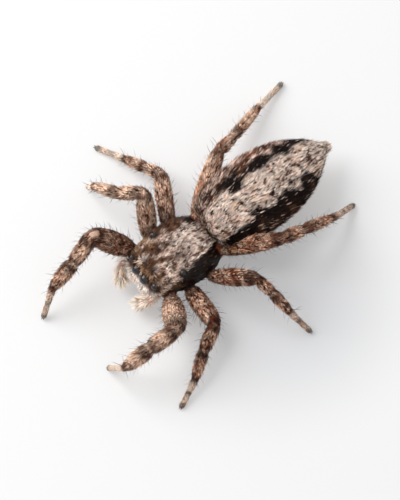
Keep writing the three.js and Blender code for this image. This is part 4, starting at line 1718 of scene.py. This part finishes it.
COAT_SOCKETS = {
    "Bed": "NodeSocketGeometry",
    "Hair": "NodeSocketObject",
    **dict.fromkeys(("Spacing", "Density", "Length", "Width"), NUMBER),
    **dict.fromkeys(("Length Variation", "Disorder", "Shade Variation"), NUMBER),
    "Seed": "NodeSocketInt",
    "Finish": "NodeSocketMaterial",
}


@functools.cache
def coat_tree():
    """Hairs scattered over a bed of skin, which lie as its points say."""
    tree = bpy.data.node_groups.new("lay the coat", "GeometryNodeTree")
    tree.is_modifier = True
    sockets = {
        label: tree.interface.new_socket(label, in_out="INPUT", socket_type=kind)
        for label, kind in COAT_SOCKETS.items()
    }
    tree.interface.new_socket("Coat", in_out="OUTPUT", socket_type="NodeSocketGeometry")
    given = tree.nodes.new("NodeGroupInput").outputs
    maths = functools.partial(maths_in, tree)

    def named(name, kind="FLOAT"):
        node = node_in(tree, "GeometryNodeInputNamedAttribute", {"Name": name}, data_type=kind)
        return out_of(node, "Attribute")

    def random(low, high, seed_step, kind="FLOAT"):
        seed = node_in(tree, "FunctionNodeIntegerMath", {0: given["Seed"], 1: seed_step}, operation="ADD")
        inputs = {"Min": low, "Max": high, "Seed": seed.outputs[0]}
        return out_of(node_in(tree, "FunctionNodeRandomValue", inputs, data_type=kind), "Value")

    def varied(variation, seed_step):
        """A number about one, by up to that much more or less."""
        return maths("ADD", maths("MULTIPLY", random(-1.0, 1.0, seed_step), variation), 1.0)

    def strayed(way, reach, seed_step):
        """A way moved to any side, by up to that much."""
        stray = scaled_in(tree, random((-1, -1, -1), (1, 1, 1), seed_step, "FLOAT_VECTOR"), reach)
        return node_in(tree, "ShaderNodeVectorMath", {0: way, 1: stray}, operation="ADD").outputs[0]

    inputs = {
        "Mesh": given["Bed"],
        "Distance Min": given["Spacing"],
        "Density Max": given["Density"],
        "Density Factor": named("cover"),
        "Seed": given["Seed"],
    }
    scatter = node_in(tree, "GeometryNodeDistributePointsOnFaces", inputs, distribute_method="POISSON")
    # each hair takes one of two colours, and is then a little lighter or darker
    other = maths("LESS_THAN", random(0.0, 1.0, 1), named("share"))
    pick = blend_in(tree, other, named("tint", "FLOAT_COLOR"), named("other", "FLOAT_COLOR"))
    shaded = scaled_in(tree, pick, varied(given["Shade Variation"], 2))
    inputs = {"Geometry": scatter.outputs["Points"], "Name": "tint", "Value": shaded}
    stored = node_in(tree, "GeometryNodeStoreNamedAttribute", inputs, data_type="FLOAT_COLOR", domain="POINT")
    course = strayed(named("lie", "FLOAT_VECTOR"), given["Disorder"], 3)
    inputs = {"Primary Axis": course, "Secondary Axis": strayed(scatter.outputs["Normal"], ROLL, 4)}
    turned = node_in(tree, "FunctionNodeAxesToRotation", inputs, primary_axis="Y", secondary_axis="Z")
    long = maths("MULTIPLY", given["Length"], varied(given["Length Variation"], 5))
    long = maths("MULTIPLY", long, named("length"))
    # where the hairs are short they are thin as well
    slim = maths("MULTIPLY", given["Width"], maths("POWER", named("length"), SLIMMING))
    wide = maths("MULTIPLY", slim, random(*WIDTH_RANGE, 6))
    shape = node_in(tree, "GeometryNodeObjectInfo", {"Object": given["Hair"]})
    inputs = {
        "Points": stored.outputs["Geometry"],
        "Instance": shape.outputs["Geometry"],
        "Rotation": turned.outputs[0],
        "Scale": node_in(tree, "ShaderNodeCombineXYZ", {"X": wide, "Y": long, "Z": slim}).outputs[0],
    }
    instances = node_in(tree, "GeometryNodeInstanceOnPoints", inputs)
    real = node_in(tree, "GeometryNodeRealizeInstances", {"Geometry": instances.outputs["Instances"]})
    inputs = {"Geometry": real.outputs["Geometry"], "Material": given["Finish"]}
    finished = node_in(tree, "GeometryNodeSetMaterial", inputs)
    node_in(tree, "NodeGroupOutput", {"Coat": finished.outputs["Geometry"]})
    return tree, {label: socket.identifier for label, socket in sockets.items()}


# What the coat's tree reads of its bed, and what says where a hair goes in the bake map.
BED_MARKS = ("lie", "tint", "other", "share", "cover", "length")
MAP_MARKS = ("root", "strip")

# A hair's patch of the bake map is this wide, and strips of it keep these margins.
PATCH, STRIP_MARGIN, ROW_MARGIN = 0.003, 0.02, 0.01


def bed_mesh(points, faces, values, angle, along, strip):
    """A bed for a coat, in metres, with its values at each point."""
    mesh = mesh_of("bed", points, faces)
    for name in BED_MARKS:
        keep(mesh, name, opaque(values[name]) if name in ("tint", "other") else values[name])
    keep(mesh, "root", np.stack([np.sin(angle), np.cos(angle), along], 1))
    keep(mesh, "strip", strip)
    return placed("bed", mesh, smooth=False)


def bed_of(chosen, **changes):
    """A bed from a part of the skin, with some of its values changed."""
    hide = HIDE[SKIN]
    faces = hide.faces[chosen[hide.faces].all(1)]
    used = np.unique(faces)
    renumber = np.zeros(len(chosen), int)
    renumber[used] = np.arange(len(used))
    values = {**hide.marks, "lie": hide.lie, **changes}
    values = {name: values[name][used] for name in BED_MARKS}
    place = 2 * np.pi * hide.turn[used], hide.along[used], hide.owner[used]
    return bed_mesh(hide.points[used] * MM, renumber[faces].tolist(), values, *place)


def lay_coat(name, bed, hair, sizes, finish, slot, seed, shades=1.0):
    """Grows one coat piece on its bed, and gives it its bake map."""
    coat = bpy.context.scene.spider_coat
    hair = hair_shape(hair)
    tree, ids = coat_tree()
    grown = bed.modifiers.new("coat", "NODES")
    grown.node_group = tree
    spacing, length, width = sizes
    values = {
        "Hair": hair,
        "Spacing": spacing,
        "Density": CROWDING / spacing**2,
        "Length": length,
        "Width": width,
        "Length Variation": LENGTH_VARIATION,
        "Disorder": coat.disorder,
        "Shade Variation": shades * coat.shade_variation,
        "Seed": coat.seed + seed,
        "Finish": hair_finish(finish),
    }
    for label, value in values.items():
        grown[ids[label]] = value
    mesh = evaluated_mesh(bed)
    drop(bed)
    rest_on_floor(mesh)
    # each hair has its own small patch, in the strip of the form that it grows on
    count = len(hair.data.vertices)
    across, up, along = kept(mesh, "root", 3)[::count].T
    owners, strip = np.unique(np.round(kept(mesh, "strip", 1)[::count, 0]), return_inverse=True)
    turn = np.arctan2(across, up) / (2 * np.pi) + 0.5
    column = (strip + STRIP_MARGIN + (1 - 2 * STRIP_MARGIN) * turn) / len(owners)
    place = np.stack([column, ROW_MARGIN + (1 - 2 * ROW_MARGIN) * along], 1)
    spots = (place[:, None] + mesh_points(hair.data)[:, :2] * PATCH).reshape(-1, 2)
    layer = mesh.uv_layers.new(name="OFBake")
    layer.data.foreach_set("uv", spots[loop_points(mesh)].ravel().astype(np.float32))
    for unused in (*BED_MARKS, *MAP_MARKS):
        if unused != "tint" and unused in mesh.attributes:
            mesh.attributes.remove(mesh.attributes[unused])
    finish_piece(placed(name, mesh, smooth=False), slot)


# The back coat ends this far below the abdomen's middle height, and the belly's hairs differ
# from the back's by these shares in spacing, length and width.
UPPER_EDGE, BELLY_SHARES = -0.25, (1.35, 1.1, 1.3)

# Hairs of the legs vary this much more in shade.
LEG_SHADES = 1.4

# The jaws' hair hangs this way, and stands off them by this angle. It is shorter and slimmer.
JAW_HAIR_LIE, JAW_HAIR_RISE = np.array([0, -0.4, -1.0]), 24
JAW_HAIR_LENGTH, JAW_HAIR_WIDTH = 0.8, 0.7

# Bristles: piece, forms, slot, greatest share of their length, and angle to the skin.
BRISTLES = (
    ("bristles_body", ("abdomen", "carapace"), "body_coat", 0.7, 55),
    ("bristles_legs", ("leg_",), "leg_coat", 1.0, 48),
)

# Hairs vary by this share beyond their length. No bristle is shorter than this share, and
# none grows past this station of a leg or where the skin is glossier than this.
LONGEST, SHORTEST, BRISTLE_END, BRISTLE_GLOSS = 1.3, 0.25, 4.4, 0.5


def hair_sizes(region, *shares):
    """Spacing, length and width of a region's hairs, times some shares."""
    coat = bpy.context.scene.spider_coat
    sizes = [getattr(coat, f"{region}_{measure}") for measure in HAIR_MEASURES]
    return [size * share for size, share in zip(sizes, shares or (1, 1, 1))]


def lay_body_coat():
    """Flat scale-like hairs over the abdomen and the carapace."""
    hide = HIDE[SKIN]
    upper = abdomen_place(hide.points)[1] > UPPER_EDGE
    pieces = (
        ("coat_abdomen", hide.on("abdomen") & upper, ()),
        ("coat_belly", hide.on("abdomen", "spinnerets") & ~upper, BELLY_SHARES),
        ("coat_carapace", hide.on("carapace", "cup_"), ()),
    )
    for k, (name, chosen, shares) in enumerate(pieces, 1):
        sizes = hair_sizes("body", *shares)
        lay_coat(name, bed_of(chosen), "flat hair", sizes, "body hair", "body_coat", 10 * k)


def lay_leg_coats():
    """Shaggier hair on the legs, one piece for each pair of legs of a side."""
    for k, (letter, pair) in enumerate(itertools.product(SIDES, ((1, 2), (3, 4)))):
        bed = bed_of(HIDE[SKIN].on(*[f"leg_{letter}{number}" for number in pair]))
        name = f"coat_legs_{letter}{pair[0]}{pair[1]}"
        seed = 40 + 10 * k
        lay_coat(name, bed, "flat hair", hair_sizes("leg"), "leg hair", "leg_coat", seed, LEG_SHADES)


def lay_palp_coat():
    """The long pale fringe of the palps."""
    bed = bed_of(HIDE[SKIN].on("palp_"))
    lay_coat("coat_palps", bed, "fine hair", hair_sizes("palp"), "palp hair", "palp_coat", 90)


def lay_jaw_coat():
    """White hair that hangs down the fronts of the jaws."""
    jaws = [bpy.data.objects[f"jaw_{letter}"].data for letter in SIDES]
    parts = [(mesh_points(jaw), [list(polygon.vertices) for polygon in jaw.polygons]) for jaw in jaws]
    points, faces = gathered(parts)
    normals = np.vstack([mesh_normals(jaw) for jaw in jaws])
    count = len(points)
    height = (points[:, 2] - points[:, 2].min()) / np.ptp(points[:, 2])
    values = {
        "lie": laid(JAW_HAIR_LIE, normals, JAW_HAIR_RISE),
        "tint": mix("cream_hair", "white_hair", ease(0.4, 0.6, mottle(points / MM, 0.2, 39))),
        "other": np.tile(colour("taupe_hair"), (count, 1)),
        "share": np.full(count, 0.12),
        "cover": ease(0.2, 0.5, height),
        "length": np.full(count, JAW_HAIR_LENGTH),
    }
    angle = np.arctan2(normals[:, 0], normals[:, 1])
    strip = np.repeat(range(len(jaws)), [len(own) for own, _ in parts])
    bed = bed_mesh(points, faces, values, angle, height, strip)
    sizes = hair_sizes("body", 1, 1, JAW_HAIR_WIDTH)
    lay_coat("coat_jaws", bed, "flat hair", sizes, "jaw hair", "body_coat", 120)


# A hair that rises or sinks by less than this share of its length counts as if it did so.
LEAST_SLOPE = 0.02


def room_for(lie):
    """How long a hair may be at each point without passing the floor or the solids' top."""
    top = max(span(node)[1][2] for node in frame["nodes"])
    up, z = lie[:, 2], HIDE[SKIN].points[:, 2]
    return np.where(up > 0, top - z, z) / np.maximum(np.abs(up), LEAST_SLOPE)


def lay_bristles():
    """Thin upright bristles on the body and the legs."""
    hide = HIDE[SKIN]
    count = len(hide.points)
    sizes = hair_sizes("bristle")
    bare = (hide.on("leg_") & (hide.station > BRISTLE_END)) | (hide.marks["gloss"] >= BRISTLE_GLOSS)
    dark = np.tile(colour("dark_hair"), (count, 1))
    for k, (name, region, slot, tall, upright) in enumerate(BRISTLES):
        lie = laid(hide.lie, hide.normals, upright)
        length = np.clip(room_for(lie) / in_mm(sizes[1]) / LONGEST, 0, tall)
        cover = 1.0 * (~bare & (length > SHORTEST))
        changes = {"lie": lie, "tint": dark, "share": np.zeros(count), "cover": cover, "length": length}
        bed = bed_of(hide.on(*region), **changes)
        lay_coat(name, bed, "fine hair", sizes, "bristle", slot, 100 + 10 * k)


def clear_patterns():
    """Removes the single hairs that the coats were made from."""
    for name in HAIRS:
        if name in bpy.data.objects:
            drop(bpy.data.objects[name])
    hair_shape.cache_clear()


# The stage --------------------------------------------------------------------------------

# The floor's colour is a little greyer round this place beside the body: a painted shade on the floor.
PAINTED_SHADE_MIDDLE, PAINTED_SHADE_RADIUS = (5.9, 1.4), 8.5


def aimed(data, target, azimuth, elevation, distance):
    """A lamp or a camera that looks at a target, from an angle round the animal and one above."""
    level = math.cos(elevation)
    way = Vector((math.sin(azimuth) * level, -math.cos(azimuth) * level, math.sin(elevation)))
    thing = bpy.data.objects.new(data.name, data)
    thing.location = Vector(target) + way * distance
    thing.rotation_euler = (-way).to_track_quat("-Z", "Y").to_euler()
    bpy.context.scene.collection.objects.link(thing)
    return thing


def floor_finish(glow):
    """A plain floor, greyer beside the body, and partly white of itself to the camera alone."""
    material, tree, shader = blank_finish("plain floor")
    place = node_in(tree, "ShaderNodeTexCoord").outputs["Object"]
    middle = Vector((*PAINTED_SHADE_MIDDLE, 0)) * MM
    away = node_in(tree, "ShaderNodeVectorMath", {0: place, 1: middle}, operation="DISTANCE")
    reach = PAINTED_SHADE_RADIUS * MM
    near = range_in(tree, out_of(away, "Value"), 1.0, 0.0, reach, interpolation_type="SMOOTHERSTEP")
    # the floor's colour is greyed round that place, as painted shade
    tone = blend_in(tree, near, "floor", "painted_floor_shade")
    fill(tree, shader, {"Base Color": tone, "Roughness": 0.9, "Specular IOR Level": 0.0})
    seen = node_in(tree, "ShaderNodeLightPath").outputs["Is Camera Ray"]
    lit = node_in(tree, "ShaderNodeEmission", {"Color": tone}).outputs["Emission"]
    inputs = {"Fac": maths_in(tree, "MULTIPLY", seen, glow), 1: shader.outputs["BSDF"], 2: lit}
    blend = node_in(tree, "ShaderNodeMixShader", inputs)
    output = next(node for node in tree.nodes if node.type == "OUTPUT_MATERIAL")
    tree.links.new(blend.outputs["Shader"], output.inputs["Surface"])
    return material


def even_sky(ambient):
    """A white sky that lights the animal with less than it shows."""
    world = bpy.data.worlds.new("even sky")
    world.use_nodes = True
    tree = world.node_tree
    tree.nodes.clear()
    rays = node_in(tree, "ShaderNodeLightPath").outputs
    seen = maths_in(tree, "MAXIMUM", rays["Is Camera Ray"], rays["Is Glossy Ray"])
    seen = maths_in(tree, "MAXIMUM", seen, rays["Is Transmission Ray"])
    sky = node_in(tree, "ShaderNodeBackground", {"Strength": range_in(tree, seen, ambient, 1.0)})
    node_in(tree, "ShaderNodeOutputWorld", {"Surface": sky.outputs["Background"]})
    return world


def make_stage():
    """A pale floor, an even sky, one large soft lamp and the camera."""
    scene = bpy.context.scene
    stage = scene.spider_stage
    scene.view_settings.view_transform = "Standard"
    scene.world = even_sky(stage.ambient)

    shape = bmesh.new()
    bmesh.ops.create_circle(shape, cap_ends=True, segments=96, radius=stage.floor_radius)
    mesh = bpy.data.meshes.new("floor")
    shape.to_mesh(mesh)
    shape.free()
    mesh.materials.append(floor_finish(stage.floor_glow))
    floor = placed("floor", mesh, smooth=False)

    lamp = bpy.data.lights.new("soft lamp", "AREA")
    lamp.energy = stage.lamp_power
    lamp.size = stage.lamp_size
    aimed(lamp, (0, 0, 0), stage.lamp_azimuth, stage.lamp_elevation, stage.lamp_distance)

    camera = bpy.data.cameras.new("camera")
    camera.lens = stage.camera_lens
    camera.clip_start = 0.001
    camera.clip_end = 10
    target = (stage.target_x, stage.target_y, 0)
    angles = stage.camera_azimuth, stage.camera_elevation
    scene.camera = aimed(camera, target, *angles, stage.camera_distance)


# The add-on -------------------------------------------------------------------------------


def operator(name, label, text, work):
    """An operator that does one piece of work and raises if that fails."""

    def execute(self, context):
        work()
        return {"FINISHED"}

    fields = {"bl_idname": f"spider.{name}", "bl_label": label, "__doc__": text, "execute": execute}
    return type(f"SPIDER_OT_{name}", (Operator,), fields)


STEPS = (
    ("stage", "Make Stage", "Make the floor, the lights and the camera", make_stage),
    ("skin", "Make Skin", "Join the body and the limbs under one skin", make_skin),
    ("eyes", "Make Eyes", "Make the eight round eyes", make_eyes),
    ("jaws", "Make Jaws", "Make the two jaws and their fangs", make_jaws),
    ("claws", "Make Claws", "Make the claws of all the feet", make_claws),
    ("body_coat", "Lay Body Coat", "Lay flat hair on the abdomen and the carapace", lay_body_coat),
    ("leg_coats", "Lay Leg Coats", "Lay hair on the eight legs", lay_leg_coats),
    ("palp_coat", "Lay Palp Coat", "Lay the long hair of the palps", lay_palp_coat),
    ("jaw_coat", "Lay Jaw Coat", "Lay the white hair of the jaws", lay_jaw_coat),
    ("bristles", "Set Bristles", "Set the upright bristles", lay_bristles),
    ("clear_patterns", "Clear Patterns", "Remove the single hairs that coats are made from", clear_patterns),
)
OPERATORS = [operator(*step) for step in STEPS]
SETTINGS = {
    "spider_shape": SpiderShape,
    "spider_colours": SpiderColours,
    "spider_coat": SpiderCoat,
    "spider_stage": SpiderStage,
}


class SPIDER_PT_steps(Panel):
    """The steps that make the spider, in their order."""

    bl_idname = "SPIDER_PT_steps"
    bl_label = "Jumping Spider"
    bl_space_type = "VIEW_3D"
    bl_region_type = "UI"
    bl_category = "Spider"

    def draw(self, context):
        for name, *_ in STEPS:
            self.layout.operator(f"spider.{name}")


def register():
    for kind in (*SETTINGS.values(), *OPERATORS, SPIDER_PT_steps):
        bpy.utils.register_class(kind)
    for name, kind in SETTINGS.items():
        setattr(bpy.types.Scene, name, PointerProperty(type=kind))


def unregister():
    for name in SETTINGS:
        delattr(bpy.types.Scene, name)
    for kind in reversed((*SETTINGS.values(), *OPERATORS, SPIDER_PT_steps)):
        bpy.utils.unregister_class(kind)


def main():
    register()
    for name, *_ in STEPS:
        getattr(bpy.ops.spider, name)()


if __name__ == "__main__":
    main()
